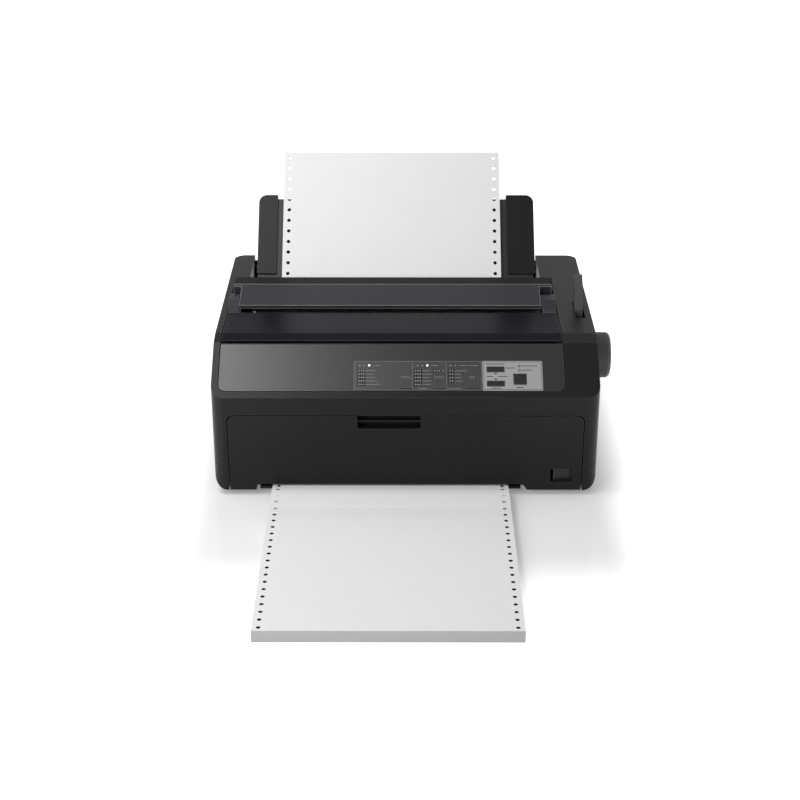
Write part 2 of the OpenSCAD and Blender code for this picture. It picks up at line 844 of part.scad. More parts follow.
module panel_board() {
    color(board_green)
        on_slope()
            difference() {
                union() {
                    block(board_panel_x, [9, 49], [board_panel_z, board_panel_z + 1.6]);
                    for (b = concat(mode_buttons, long_buttons, [pause_button_at]))
                        translate([b[0], b[1], board_panel_z + 1.6]) {
                            translate([-3, -3, 0])
                                cube([6, 6, 2.4]);
                            cylinder(r = 1.7, h = 3.1);
                        }
                }
                for (x = [board_panel_x[0] + 4, board_panel_x[1] - 4], y = [14, 44])
                    translate([x, y, board_panel_z - 1])
                        cylinder(r = 1.2, h = 4);
            }
}

// A push button with its flange under the panel
module push_button(at, w, l, grey) {
    color(grey)
        on_slope()
            translate([at[0], at[1], 0]) {
                translate([-w / 2, -l / 2, -wall - 1])
                    cube([w, l, wall + 1 + plate_t + button_proud]);
                translate([-w / 2 - 1, -l / 2 - 0.8, -wall - fit_gap - 1.2])
                    cube([w + 2, l + 1.6, 1.2]);
                translate([0, 0, board_panel_z + 1.6 + 3.1 + button_travel + fit_gap])
                    cylinder(r = 1.7, h = -board_panel_z - 4.7 - button_travel - fit_gap - wall - 1);
            }
}

module mode_button_left() {
    push_button(mode_buttons[0], square_button, square_button, cover_black);
}

module mode_button_middle() {
    push_button(mode_buttons[1], square_button, square_button, cover_black);
}

module mode_button_right() {
    push_button(mode_buttons[2], square_button, square_button, cover_black);
}

module load_button() {
    push_button(long_buttons[0], long_button_w, long_button_l, cover_black);
}

module feed_button() {
    push_button(long_buttons[1], long_button_w, long_button_l, cover_black);
}

module pause_button() {
    push_button(pause_button_at, square_button + 1.6, square_button + 1, cover_black);
}

module smoked_cover() {
    x = [bay_left + cover_gap, bay_right - cover_gap];
    lip_x = [bay_left + left_clip_w + 3.5, bay_right - right_clip_w - 4];
    color(smoke) {
        intersection() {
            along_x(x[0], x[1])
                difference() {
                    polygon(case_outline(0));
                    polygon(case_outline(wall));
                }
            slab(x, [panel_run + 3.6, smoked_end], [top_h - 20, top_h + 1]);
        }
        // turned down front edge
        slab([x[0] + seat_w, x[1] - seat_w], [panel_run + 3.6, panel_run + 5.6], [kink_h - 5, kink_h]);
        // stepped rear edge that tucks under the exit cover
        slab(lip_x, [smoked_end - 2, smoked_end], [top_h - 6.3, top_h - 1]);
        slab(lip_x, [smoked_end - 2, bar_start - 3], [top_h - 6.3, top_h - 4.3]);
    }
}

// Side view of a hinge clip
module clip_shape() {
    translate(clip_axis)
        circle(clip_r);
    polygon([
        [smoked_end - 13, top_h - wall - 5], [smoked_end - 13, top_h - wall],
        [smoked_end, top_h - wall], [smoked_end, top_h + 0.2], [smoked_end + 7, top_h + 0.8],
        [clip_axis[0] - 12, clip_axis[1] + clip_r], [clip_axis[0], clip_axis[1] + clip_r],
        [clip_axis[0], clip_axis[1] - clip_r], [clip_axis[0] - 18, top_h - 12]
    ]);
}

module cover_clips() {
    color(cover_black) {
        along_x(bay_left + 1, bay_left + 1 + left_clip_w)
            clip_shape();
        rod_x(clip_axis, clip_pin_r, bay_left - 4, bay_left + 2);
        along_x(bay_right - 1.5 - right_clip_w, bay_right - 1.5)
            clip_shape();
        rod_x(clip_axis, clip_pin_r, bay_right - 2, bay_right + 5.5);
    }
}

module exit_cover() {
    skin = [
        [bar_start, top_h + 0.8], [bar_start, top_h + 4.3], [bar_ridge, bar_h],
        [bar_end, bar_h - 1], [bar_end, top_h + 5]
    ];
    end = concat(skin, [[bar_ridge, top_h + 0.8]]);
    narrow_x = [bay_left + left_clip_w + 2.2, bay_right - right_clip_w - 2.8];
    wide_x = [bay_left + 3.6, bay_right - 3.4];
    wide_y = clip_axis[0] + clip_r + 1.2;
    color(cover_black) {
        along_x(narrow_x[0], narrow_x[1])
            polygon(band(skin, wall));
        for (x = [narrow_x[0], narrow_x[1] - 2])
            along_x(x, x + 2)
                polygon(end);
        intersection() {
            union() {
                along_x(wide_x[0], wide_x[1])
                    polygon(band(skin, wall));
                for (x = [wide_x[0], wide_x[1] - 2])
                    along_x(x, x + 2)
                        polygon(end);
            }
            slab(wide_x, [wide_y, bar_end + 1], [top_h, bar_h + 1]);
        }
        // walls behind the clips
        for (x = [[wide_x[0], narrow_x[0] + 2], [narrow_x[1] - 2, wide_x[1]]])
            intersection() {
                along_x(x[0], x[1])
                    polygon(end);
                slab(x, [wide_y, wide_y + 2], [top_h, bar_h]);
            }
        // hinge arms at both ends
        for (x = [[bay_left + exit_boss_w + 1, well_left - 1.2], [well_right + 1.2, bay_right - 1.2]])
            along_x(x[0], x[1])
                union() {
                    translate(exit_axis)
                        circle(4);
                    polygon([
                        [bar_end - 14, bar_h - 4], [bar_end, bar_h - 1.5], exit_axis + [0, 4],
                        exit_axis + [0, -4], [bar_end - 4, top_h + 1], [bar_end - 14, top_h + 3]
                    ]);
                }
        rod_x(exit_axis, exit_pin_r, bay_left + 2, bay_left + exit_boss_w + 2);
        rod_x(exit_axis, exit_pin_r, bay_right - 2, bay_right + 4);
    }
}

module paper_guide() {
    x = [well_left + 10, well_right - 8.8];
    color(cover_black) {
        on_guide()
            difference() {
                union() {
                    block(x, [guide_n, guide_n + guide_t], [-10, guide_len]);
                    for (i = [-3:3])
                        block(
                            [paper_x + i * 34 - 1, paper_x + i * 34 + 1],
                            [guide_n + guide_t, guide_n + guide_t + 3], [-6, guide_len - 26]
                        );
                }
                // groove under the top rail
                block([x[0] - 1, x[1] + 1], [guide_n - 1, guide_n + 0.8], [guide_len - 6, guide_len - 4.6]);
            }
        rod_x(guide_axis, 4, well_left + guide_post_w + 0.5, well_right - guide_post_w - 0.5);
        on_guide()
            block(x, [guide_n, guide_axis_n], [guide_axis_s, -7]);
        rod_x(guide_axis, guide_pin_r, well_left + 0.5, well_right - 0.5);
    }
}

// Front view of an edge guide with its round corner on the side of outer
module ear_outline(x, outer) {
    cx = outer < 0 ? x[0] + ear_r : x[1] - ear_r;
    translate([x[0], 0])
        square([x[1] - x[0], ear_len - ear_r]);
    translate([cx, ear_len - ear_r])
        circle(ear_r);
    translate([outer < 0 ? cx : x[0], ear_len - ear_r])
        square([x[1] - x[0] - ear_r, ear_r]);
}

// An edge guide that hangs over the guide plate and slides along it
module edge_guide(x, outer) {
    back_n = guide_n + guide_t + fit_gap;
    inner = outer < 0 ? [x[0] + ear_r, x[1]] : [x[0], x[1] - ear_r];
    color(case_black)
        on_guide() {
            translate([0, guide_n - fit_gap, 0])
                rotate([90, 0, 0])
                    linear_extrude(ear_t)
                        ear_outline(x, outer);
            block(inner, [guide_n - fit_gap - 1, back_n + 1], [guide_len + fit_gap, ear_len]);
            block(inner, [back_n, back_n + 2], [guide_len - 20, ear_len]);
        }
}

module edge_guide_left() {
    edge_guide(left_ear_x, -1);
}

module edge_guide_right() {
    edge_guide(right_ear_x, 1);
}

// Pan that turns the paper up in front of the platen, and pan behind the platen
module paper_chute() {
    p = platen_c;
    front = [
        [tractor_c[0] + 16, pan_z], [shaft_c[0] + 13, pan_z], [p[0] - 27, pan_z + 4],
        [p[0] - 21.5, pan_z + 13], [p[0] - 19, pan_z + 26], [p[0] - 15.5, p[1] - 15.5]
    ];
    rear = [
        p + [14, 14.5], p + [36, 22],
        sheet_foot + sheet_low * lean_up + fit_gap * lean_back,
        sheet_foot - 12 * lean_up + fit_gap * lean_back
    ];
    color(steel) {
        along_x(paper_x - paper_half - 2, paper_x + paper_half + 2)
            polygon(band(front, pan_t));
        along_x(frame_left, frame_right)
            polygon(band([front[0], front[1]], pan_t));
        along_x(frame_left, frame_right)
            polygon(band(rear, pan_t));
    }
}

// A side frame of the mechanism, pierced for the shafts
module frame_plate(x) {
    outline = [
        [frame_front, frame_bottom], [frame_front, tractor_c[1] + 12], tractor_c + [10, 26], [tractor_c[0] + 10, platen_z + 20.5],
        platen_c + [-35, 28.5], platen_c + [35, 28.5], platen_c + [55, 2.5], [platen_y + 61, frame_bottom]
    ];
    along_x(x, x + frame_t)
        difference() {
            polygon(outline);
            translate(rail_c)
                circle(tractor_rail_r + run_gap);
            translate(tractor_c)
                circle(journal_r + run_gap);
            translate(shaft_c)
                circle(carriage_shaft_r + run_gap);
            translate(platen_c)
                circle(bush_r + run_gap);
            // lightening holes
            translate([platen_y - 5, 34])
                circle(15);
            translate([platen_y + 36, 34])
                circle(12);
        }
}

module side_frame_left() {
    color(steel) {
        difference() {
            frame_plate(frame_left - frame_t);
            rod_x(pinion_c, motor_boss_r + fit_gap, frame_left - frame_t - 1, frame_left + 1);
        }
        // stub pins for the idler gears
        for (c = [idler_rear_c, idler_front_c])
            rod_x(c, stub_r, gear_x - 1.5, frame_left - frame_t);
        // bracket and pin for the belt's idler pulley
        slab([frame_left, idler_pulley_x + 5], [belt_y[0] - 4.5, belt_y[0] - 2.5], [belt_z - 8, belt_z + 8]);
        slab([frame_left, frame_left + 1.5], [belt_y[0] - 4.5, belt_y[1] + 3], [belt_z - 8, belt_z + 8]);
        rod_y(idler_pulley_x, belt_z, 2, belt_y[0] - 3.5, belt_y[1] + 2.5);
    }
}

module side_frame_right() {
    hub_x = lever_x - 3;
    color(steel) {
        frame_plate(frame_right);
        along_x(frame_right, frame_right + frame_t)
            difference() {
                translate(lever_axis)
                    circle(9);
                translate(platen_c)
                    circle(bush_r + run_gap);
            }
        // pivot of the release lever
        rod_x(lever_axis, 5, frame_right + frame_t, hub_x - fit_gap);
        rod_x(lever_axis, stub_r, hub_x - fit_gap - 1, hub_x + 8);
        // plate that carries the carriage motor
        difference() {
            slab(
                [motor_pulley_x - 18, frame_right],
                [belt_y[1] + 4, belt_y[1] + 6], [belt_z - 18, belt_z + 20]
            );
            rod_y(motor_pulley_x, belt_z, 5, belt_y[1] + 3, belt_y[1] + 7);
        }
    }
}

module base_pan() {
    color(steel)
        difference() {
            union() {
                slab([frame_left, frame_right], [frame_front + 2, platen_y + 60], [frame_bottom, frame_bottom + pan_t]);
                for (x = [frame_left, frame_right - pan_t])
                    slab([x, x + pan_t], [frame_front + 2, platen_y + 60], [frame_bottom, frame_bottom + 8]);
            }
            for (i = [-3:3])
                slab([paper_x + i * 40 - 12, paper_x + i * 40 + 12], [120, 126], [foot_h, frame_bottom + 3]);
        }
}

module platen_roller() {
    color(rubber_black)
        difference() {
            rod_x(platen_c, platen_r, paper_x - roller_half, paper_x + roller_half);
            rod_x(platen_c, platen_shaft_r + run_gap, paper_x - roller_half - 1, paper_x + roller_half + 1);
        }
}

module platen_shaft() {
    color(steel)
        rod_x(platen_c, platen_shaft_r, gear_x - 3, knob_x + knob_w - 3.3);
}

// Bearing bushes with a flange on the outer face of each frame
module platen_bushes() {
    color(gear_white)
        for (side = [[frame_left, -1], [frame_right, 1]])
            difference() {
                union() {
                    rod_x(platen_c, bush_r, side[0] + min(0, side[1] * 3.5), side[0] + max(0, side[1] * 3.5));
                    translate([side[1] * (frame_t + 0.85), 0, 0])
                        rod_x(platen_c, bush_r + 2, side[0] - 0.85, side[0] + 0.85);
                }
                rod_x(platen_c, platen_shaft_r + run_gap, side[0] - 6, side[0] + 6);
            }
}

module feed_gear(c, teeth, phase, bore) {
    color(gear_white)
        difference() {
            along_x(gear_x, gear_x + gear_w)
                translate(c)
                    rotate(phase)
                        polygon(gear_outline(teeth));
            rod_x(c, bore, gear_x - 1, gear_x + gear_w + 1);
            // recess in the outer face of the larger gears
            if (teeth > 25)
                translate([-gear_w + 2, 0, 0])
                    difference() {
                        rod_x(c, gear_module * teeth / 2 - 4, gear_x, gear_x + gear_w);
                        rod_x(c, bore + 3, gear_x - 1, gear_x + gear_w + 1);
                    }
        }
}

module platen_gear() {
    feed_gear(platen_c, platen_teeth, platen_phase, platen_shaft_r + run_gap);
}

module idler_gear_rear() {
    feed_gear(idler_rear_c, idler_teeth, idler_rear_phase, stub_r + run_gap);
}

module idler_gear_front() {
    feed_gear(idler_front_c, idler_teeth, idler_front_phase, stub_r + run_gap);
}

module tractor_gear() {
    feed_gear(tractor_c, tractor_teeth, tractor_phase, journal_r + run_gap);
}

// Pinion with the motor's shaft
module feed_pinion() {
    feed_gear(pinion_c, pinion_teeth, pinion_phase, 2);
    color(steel)
        rod_x(pinion_c, 2.5, gear_x - 1, frame_left + 8);
}

module feed_motor() {
    m = 17;
    c = 5;
    color(steel)
        difference() {
            union() {
                along_x(frame_left, frame_left + 19)
                    translate(pinion_c)
                        polygon([
                            [c - m, -m], [m - c, -m], [m, c - m], [m, m - c],
                            [m - c, m], [c - m, m], [-m, m - c], [-m, c - m]
                        ]);
                rod_x(pinion_c, motor_boss_r, frame_left - frame_t, frame_left + 1);
            }
            rod_x(pinion_c, 2.5 + run_gap, frame_left - frame_t - 1, frame_left + 8.5);
        }
}

module platen_knob() {
    a = arc([knob_r - 5, knob_w - 5], 5, 0, 90, 8);
    color(knob_grey)
        translate([knob_x, fy(platen_y), platen_z])
            rotate([0, 90, 0])
                rotate_extrude($fn = 96)
                    polygon(concat(
                        [
                            [platen_shaft_r + run_gap, 0], [platen_shaft_r + 4, 0], [platen_shaft_r + 4, knob_w - 4],
                            [knob_r - 3, knob_w - 6], [knob_r - 3, 0], [knob_r, 0]
                        ],
                        a,
                        [
                            [knob_r - 9, knob_w], [knob_r - 10, knob_w - 1], [0, knob_w - 1],
                            [0, knob_w - 3], [platen_shaft_r + run_gap, knob_w - 3]
                        ]
                    ));
}

module tractor_shaft() {
    h = square_shaft / 2;
    color(steel) {
        slab(
            [frame_left + 1, frame_right - 1],
            [tractor_c[0] - h, tractor_c[0] + h], [tractor_c[1] - h, tractor_c[1] + h]
        );
        rod_x(tractor_c, journal_r, gear_x - 1, frame_left + 1);
        rod_x(tractor_c, journal_r, frame_right - 1, frame_right + frame_t + 1);
    }
}

module tractor_rail() {
    color(steel)
        rod_x(rail_c, tractor_rail_r, frame_left - frame_t, frame_right + frame_t);
}

// Side view of a tractor's cheek
module cheek_shape() {
    difference() {
        translate(tractor_c)
            polygon([
                [-16, -6], [-16, 6], [-10, wheel_r], [13.5, wheel_r], [14, 6],
                [27, -4], [27, -18], [8, -19], [-8, -19]
            ]);
        translate(rail_c)
            circle(tractor_rail_r + run_gap);
        translate(tractor_c)
            circle(hub_r + run_gap);
    }
}

// A tractor body at x; side is -1 when its flap is hinged on the left
module tractor_body(x, side) {
    half = tractor_w / 2;
    hinge_x = x + side * (half + 2.9);
    color(case_black)
        difference() {
            union() {
                along_x(x - half, x - half + cheek_t)
                    cheek_shape();
                along_x(x + half - cheek_t, x + half)
                    cheek_shape();
                slab([x - half, x + half], span(tractor_c[0], -8, 8), span(tractor_c[1], -19, -16));
                slab([x - half, x + half], span(tractor_c[0], 24, 27), span(tractor_c[1], -18, -5));
                // lugs for the flap's hinge pin
                for (y = [-15.5, 10])
                    slab(
                        [min(hinge_x, x + side * (half - 1)), max(hinge_x, x + side * (half - 1))],
                        span(tractor_c[0], y, y + 2.6), [flap_z - 5, flap_z - 0.8]
                    );
                for (y = [-15.5, 10])
                    rod_y(hinge_x, flap_z, 2.4, tractor_c[0] + y, tractor_c[0] + y + 2.6);
            }
            rod_y(hinge_x, flap_z, flap_pin_r + run_gap, tractor_c[0] - 16, tractor_c[0] + 16);
        }
}

module tractor_left() {
    tractor_body(tractor_left_x, -1);
}

module tractor_right() {
    tractor_body(tractor_right_x, 1);
}

// Sprocket wheel that rides on the square shaft
module tractor_wheel(x) {
    h = square_shaft / 2 + run_gap;
    color(gear_white)
        difference() {
            union() {
                rod_x(tractor_c, hub_r, x - tractor_w / 2, x + tractor_w / 2);
                rod_x(tractor_c, wheel_r - 0.4, x - 5, x + 5);
                for (i = [0:wheel_pins - 1])
                    translate([x, fy(tractor_c[0]), tractor_c[1]])
                        rotate([wheel_phase + i * 360 / wheel_pins, 0, 0])
                            translate([0, 0, hub_r - 1])
                                cylinder(r = pin_r, h = wheel_r + pin_h - hub_r + 1);
            }
            slab(
                [x - tractor_w, x + tractor_w],
                span(tractor_c[0], -h, h), span(tractor_c[1], -h, h)
            );
        }
}

module tractor_wheel_left() {
    tractor_wheel(tractor_left_x);
}

module tractor_wheel_right() {
    tractor_wheel(tractor_right_x);
}

// Flap that holds the paper down on the pins
module tractor_flap(x, side) {
    half = tractor_w / 2;
    hinge_x = x + side * (half + 2.9);
    inner_x = x - side * half;
    color(cover_black)
        difference() {
            union() {
                slab(
                    [min(hinge_x, inner_x), max(hinge_x, inner_x)],
                    span(tractor_c[0], -12.6, 9.7), [flap_z, flap_z + flap_t]
                );
                rod_y(hinge_x, flap_z, 2.4, tractor_c[0] - 12.6, tractor_c[0] + 9.7);
                rod_y(hinge_x, flap_z, flap_pin_r, tractor_c[0] - 15, tractor_c[0] + 12.2);
            }
            slab([x - 2.5, x + 2.5], span(tractor_c[0], -8, 8), [flap_z - 1, flap_z + flap_t + 1]);
        }
}

module tractor_flap_left() {
    tractor_flap(tractor_left_x, -1);
}

module tractor_flap_right() {
    tractor_flap(tractor_right_x, 1);
}

module carriage() {
    x = [head_x - carriage_w / 2, head_x + carriage_w / 2];
    run_z = belt_z + pulley_r;
    color(case_black)
        difference() {
            union() {
                slab(x, span(shaft_c[0], -18, 8), [rail_top + fit_gap, shaft_c[1] + 16]);
                slab([head_x - 12, head_x + 12], [shaft_c[0] + 7, belt_y[1] + 2], [run_z - 4, run_z + 4]);
            }
            rod_x(shaft_c, carriage_shaft_r + run_gap, x[0] - 1, x[1] + 1);
            slab([x[0] - 1, x[1] + 1], belt_y + [-0.3, 0.3], span(run_z, -belt_t / 2 - 0.3, belt_t / 2 + 0.3));
            // relief under the block, between the two bearings
            slab([head_x - 13, head_x + 13], span(shaft_c[0], -10, 9), [0, shaft_c[1] - 2]);
        }
}

// Dot matrix head: base, finned body and nose
module print_head() {
    top = shaft_c[1] + 16;
    color(steel) {
        slab([head_x - 15, head_x + 15], [shaft_c[0] - 9, shaft_c[0] + 7], [top, top + 5]);
        slab([head_x - 13, head_x + 13], [shaft_c[0] - 9, shaft_c[0] + 13], [top + 4, top + 31]);
        for (i = [0:5])
            slab(
                [head_x - head_w / 2, head_x + head_w / 2], [shaft_c[0] - 9, shaft_c[0] + 11],
                span(top + 6 + i * 4.5, 0, 2)
            );
        along_x(head_x - 5, head_x + 5)
            polygon([
                [shaft_c[0] + 12, top + 6], [shaft_c[0] + 12, top + 28],
                [ribbon_y - 0.3, platen_z + 5], [ribbon_y - 0.3, platen_z - 5]
            ]);
    }
}

module carriage_shaft() {
    color(steel)
        rod_x(shaft_c, carriage_shaft_r, frame_left - frame_t, frame_right + frame_t);
}

module carriage_rail() {
    y = tractor_c[0] + 13;
    color(steel) {
        slab([frame_left, frame_right], [y, y + 13], [rail_top - 1.5, rail_top]);
        slab([frame_left, frame_right], [y, y + 1.5], [rail_top - 1.5, rail_top + 6.5]);
    }
}

module carriage_motor() {
    y = belt_y[1] + 6;
    color(steel)
        difference() {
            union() {
                rod_y(motor_pulley_x, belt_z, 18, y, y + 32);
                rod_y(motor_pulley_x, belt_z, 4.6, y - 2, y + 1);
            }
            rod_y(motor_pulley_x, belt_z, 2 + run_gap, y - 3, y + 6.5);
        }
}

// A flanged belt pulley at x
module pulley(x) {
    r = pulley_r - belt_t / 2 - run_gap;
    rod_y(x, belt_z, r, belt_y[0] - 1.5, belt_y[1] + 1.5);
    for (y = [belt_y[0] - 1.5, belt_y[1] + 0.4])
        rod_y(x, belt_z, pulley_r + 1.8, y, y + 1.1);
}

// Drive pulley with the motor's shaft
module motor_pulley() {
    color(steel) {
        pulley(motor_pulley_x);
        rod_y(motor_pulley_x, belt_z, 2, belt_y[0] - 2, belt_y[1] + 12);
    }
}

module idler_pulley() {
    color(gear_white)
        difference() {
            pulley(idler_pulley_x);
            rod_y(idler_pulley_x, belt_z, 2 + run_gap, belt_y[0] - 3, belt_y[1] + 3);
        }
}

// Front view of the belt loop with outer radius r
module belt_loop(r) {
    for (x = [idler_pulley_x, motor_pulley_x])
        translate([x, belt_z])
            circle(r);
    translate([idler_pulley_x, belt_z - r])
        square([motor_pulley_x - idler_pulley_x, 2 * r]);
}

module drive_belt() {
    color(rubber_black)
        along_y(belt_y[0], belt_y[1])
            difference() {
                belt_loop(pulley_r + belt_t / 2);
                belt_loop(pulley_r - belt_t / 2);
            }
}

cartridge_top = platen_z + 23.5;
arm_left = [frame_left + 0.3, paper_x - roller_half - 0.3];
arm_right = [paper_x + roller_half + 0.3, frame_right - 0.3];
ribbon_knob_at = [arm_left[0] + 12, tractor_c[0] + 20];

// Ribbon cartridge with an arm round each end of the platen
module ribbon_cartridge() {
    y = span(tractor_c[0], 7, 23);
    color(case_black)
        difference() {
            union() {
                slab([arm_left[0], arm_right[1]], y, [platen_z + 2.5, cartridge_top]);
                for (x = [arm_left, arm_right])
                    slab(x, [y[0] + 1, ribbon_y + 1.5], [platen_z - 8, cartridge_top - 3]);
            }
            slab(
                [arm_left[1] - 4, arm_right[0] + 4],
                span(ribbon_y, -0.3, 0.6), [platen_z - 6.8, platen_z + 6.8]
            );
            translate([ribbon_knob_at[0], fy(ribbon_knob_at[1]), cartridge_top - 12])
                cylinder(r = 3 + run_gap, h = 13);
        }
}

module ribbon() {
    color(rubber_black)
        slab([arm_left[1] - 3.5, arm_right[0] + 3.5], span(ribbon_y, 0, 0.3), [platen_z - 6.5, platen_z + 6.5]);
}

module ribbon_knob() {
    color(knob_grey)
        translate([ribbon_knob_at[0], fy(ribbon_knob_at[1]), 0]) {
            translate([0, 0, cartridge_top - 11])
                cylinder(r = 3, h = 12);
            translate([0, 0, cartridge_top + 0.3])
                cylinder(r = 8, h = 5);
            translate([-7, -1.2, cartridge_top + 5])
                cube([14, 2.4, 3]);
        }
}

// Lever that opens the paper bail rollers, on a pivot beside the platen
module release_lever() {
    a = lever_axis;
    color(knob_grey)
        difference() {
            union() {
                rod_x(a, 7, lever_x - 3, lever_x + 3);
                along_x(lever_x - lever_w / 2, lever_x + lever_w / 2)
                    translate(a)
                        polygon([
                            [-6, 8], [-6.5, 17], [-5, 25], [-2, 34], [3, 44], [9, 52], [14, 56.5],
                            [17.5, 57], [18.5, 54], [18, 46], [16, 36], [13, 25], [10, 15], [6, 8]
                        ]);
                along_x(lever_x - 3, lever_x + 3)
                    translate(a)
                        polygon([[-6, 0], [-6, 9], [6, 9], [6, 0]]);
            }
            rod_x(a, stub_r + run_gap, lever_x - 6, lever_x + 6);
        }
}

// Housing of the power switch, open to the front
module power_switch() {
    x = rocker_axis[0];
    y = rocker_axis[1];
    z = [rocker_z[0] - 2.3, rocker_z[1] + 2.7];
    color(case_black)
        difference() {
            slab([x - 13, x + 13], [y - 7, y + 9], z);
            slab([x - 11, x + 11], [y - 8, y + 7], [rocker_z[0] - 0.3, rocker_z[1] + 0.3]);
            translate([x, fy(y), z[0] + 0.5])
                cylinder(r = 1.5 + run_gap, h = z[1] - z[0] - 1);
        }
}

module power_rocker() {
    x = rocker_axis[0];
    y = rocker_axis[1];
    color(cover_black) {
        translate([x, fy(y), rocker_z[0]])
            rotate([0, 0, rocker_tilt])
                linear_extrude(rocker_z[1] - rocker_z[0])
                    polygon([
                        [-9, -8.6], [0, -7.8], [9, -8.6], [9, -2], [5, 4], [-5, 4], [-9, -2]
                    ]);
        translate([x, fy(y), rocker_z[0] - 1.5])
            cylinder(r = 1.5, h = rocker_z[1] - rocker_z[0] + 3);
    }
}

module main_board() {
    z = board_z + 1.6;
    color(board_green)
        slab(board_x, board_y, [board_z, z]);
    // processor, memory and drivers
    color(case_black) {
        slab(span(board_x[0], 60, 88), span(board_y[0], 20, 48), [z, z + 3]);
        slab(span(board_x[0], 100, 136), span(board_y[0], 26, 40), [z, z + 4]);
        for (i = [0:3])
            slab(span(board_x[0] + 20 + i * 9, 0, 5), span(board_y[0], 14, 20), [z, z + 16]);
    }
    // parallel socket and USB socket
    color(steel) {
        socket(parallel_x, parallel_z, 20, 3);
        socket(usb_x, usb_z, 16, 1.5);
    }
}

// A rear socket of the given depth with a recess inside its rim
module socket(x, z, depth, rim) {
    difference() {
        slab(x, [body_d - depth, body_d + 0.5], [board_z + 1.6, z[1]]);
        slab(x + [rim, -rim], [body_d - depth + 4, body_d + 1], z + [rim - 1, -rim]);
    }
    slab(x + [rim + 2, -rim - 2], [body_d - depth + 2, body_d - 2], [(z[0] + z[1]) / 2 - 1, (z[0] + z[1]) / 2 + 1]);
}

module power_supply() {
    z = [foot_h + wall + fit_gap, 60];
    color(steel) {
        difference() {
            slab(supply_x, supply_y, z);
            slab(supply_x + [1.5, -1.5], supply_y + [1.5, -1.5], [z[0] + 1.5, z[1] - 1.5]);
            for (i = [0:8])
                slab(span(supply_x[0] + 10 + i * 8, 0, 3), supply_y + [10, -10], [z[1] - 3, z[1] + 1]);
        }
        // transformer and capacitors inside
        slab(span(supply_x[0], 8, 48), span(supply_y[0], 12, 52), [z[0] + 1, z[0] + 38]);
        for (i = [0:1])
            translate([supply_x[0] + 66, fy(supply_y[0] + 18 + i * 26), z[0] + 1])
                cylinder(r = 9, h = 32);
    }
    // mains inlet
    color(case_black) {
        difference() {
            slab(inlet_x, [supply_y[1], body_d + 0.5], inlet_z);
            slab(inlet_x + [2.5, -2.5], [body_d - 14, body_d + 1], inlet_z + [2.5, -2.5]);
        }
        for (i = [-1:1])
            slab(
                span((inlet_x[0] + inlet_x[1]) / 2 + i * 7, -1, 1), [body_d - 15, body_d - 3],
                span((inlet_z[0] + inlet_z[1]) / 2 + (i == 0 ? 2 : -1), -2, 2)
            );
    }
}

// Side view of the folded stack and the web that bows up on its way into the slot
module web_shape() {
    b = -stack_gap;
    h = stack_h;
    web = [
        [b + 6, h - 0.9], [b + 16, (h + web_top) / 2 + 1.2], [b + 25, web_top + 3.2],
        [b + 33, web_top + 3.8], [b + 41, web_top + 3.3], [b + 48, web_top + 1.9],
        [b + 54, web_top + 0.3], [12, web_top]
    ];
    below = [for (p = web) p - [0, sheet_t]];
    polygon(concat(
        [[b, 0], [b - page_len, 0], [b - page_len, h], [b - 16, h], [b - 5, h - 0.6]],
        web, reversed(below), [[b, h - 0.8 - sheet_t]]
    ));
}

module paper() {
    x = [paper_x - paper_half, paper_x + paper_half];
    rows = floor((stack_gap + page_len) / hole_pitch);
    standing = floor(sheet_len / hole_pitch);
    color(paper_white) {
        difference() {
            along_x(x[0], x[1])
                web_shape();
            for (i = [0:rows], side = [-1, 1])
                translate([paper_x + side * hole_x, fy(-i * hole_pitch), 1])
                    cylinder(r = hole_r, h = stack_h);
        }
        on_guide()
            difference() {
                block(x, [-sheet_t, 0], [sheet_low, sheet_len]);
                for (i = [-2:standing], side = [-1, 1])
                    translate([paper_x + side * hole_x, 1, i * hole_pitch - 0.9])
                        rotate([90, 0, 0])
                            cylinder(r = hole_r, h = sheet_t + 2);
            }
    }
}

lower_case();
upper_case();
rubber_feet();
front_cover();
control_panel();
legend_plate_dark();
legend_plate_light();
status_lamps();
panel_board();
mode_button_left();
mode_button_middle();
mode_button_right();
load_button();
feed_button();
pause_button();
smoked_cover();
cover_clips();
exit_cover();
paper_guide();
edge_guide_left();
edge_guide_right();
paper_chute();
side_frame_left();
side_frame_right();
base_pan();
platen_roller();
platen_shaft();
platen_bushes();
platen_gear();
platen_knob();
idler_gear_rear();
idler_gear_front();
feed_motor();
feed_pinion();
tractor_shaft();
tractor_gear();
tractor_rail();
tractor_left();
tractor_right();
tractor_wheel_left();
tractor_wheel_right();
tractor_flap_left();
tractor_flap_right();
carriage();
print_head();
carriage_shaft();
carriage_rail();
carriage_motor();
motor_pulley();
idler_pulley();
drive_belt();
ribbon_cartridge();
ribbon();
ribbon_knob();
release_lever();
power_switch();
power_rocker();
main_board();
power_supply();
paper();
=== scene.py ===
"""Looks of a desktop dot matrix printer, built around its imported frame.

Lengths are in millimetres and are turned into metres by MM where they meet a mesh or a mask.
Those of the floor, its shade, the lights and the bumps of the materials are in metres.
X runs to the user's right, Y to the rear and Z up, with the origin on the desk under the case.
"""

import json
import math

import bmesh
import bpy
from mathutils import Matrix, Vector


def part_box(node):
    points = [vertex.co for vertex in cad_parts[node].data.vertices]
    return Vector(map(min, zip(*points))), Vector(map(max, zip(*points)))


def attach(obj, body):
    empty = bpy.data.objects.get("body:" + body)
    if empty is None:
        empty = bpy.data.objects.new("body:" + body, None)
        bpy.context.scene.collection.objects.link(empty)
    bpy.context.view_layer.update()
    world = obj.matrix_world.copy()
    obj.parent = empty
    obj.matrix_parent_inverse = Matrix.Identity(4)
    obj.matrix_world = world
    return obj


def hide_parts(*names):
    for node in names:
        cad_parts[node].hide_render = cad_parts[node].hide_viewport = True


MM = 0.001

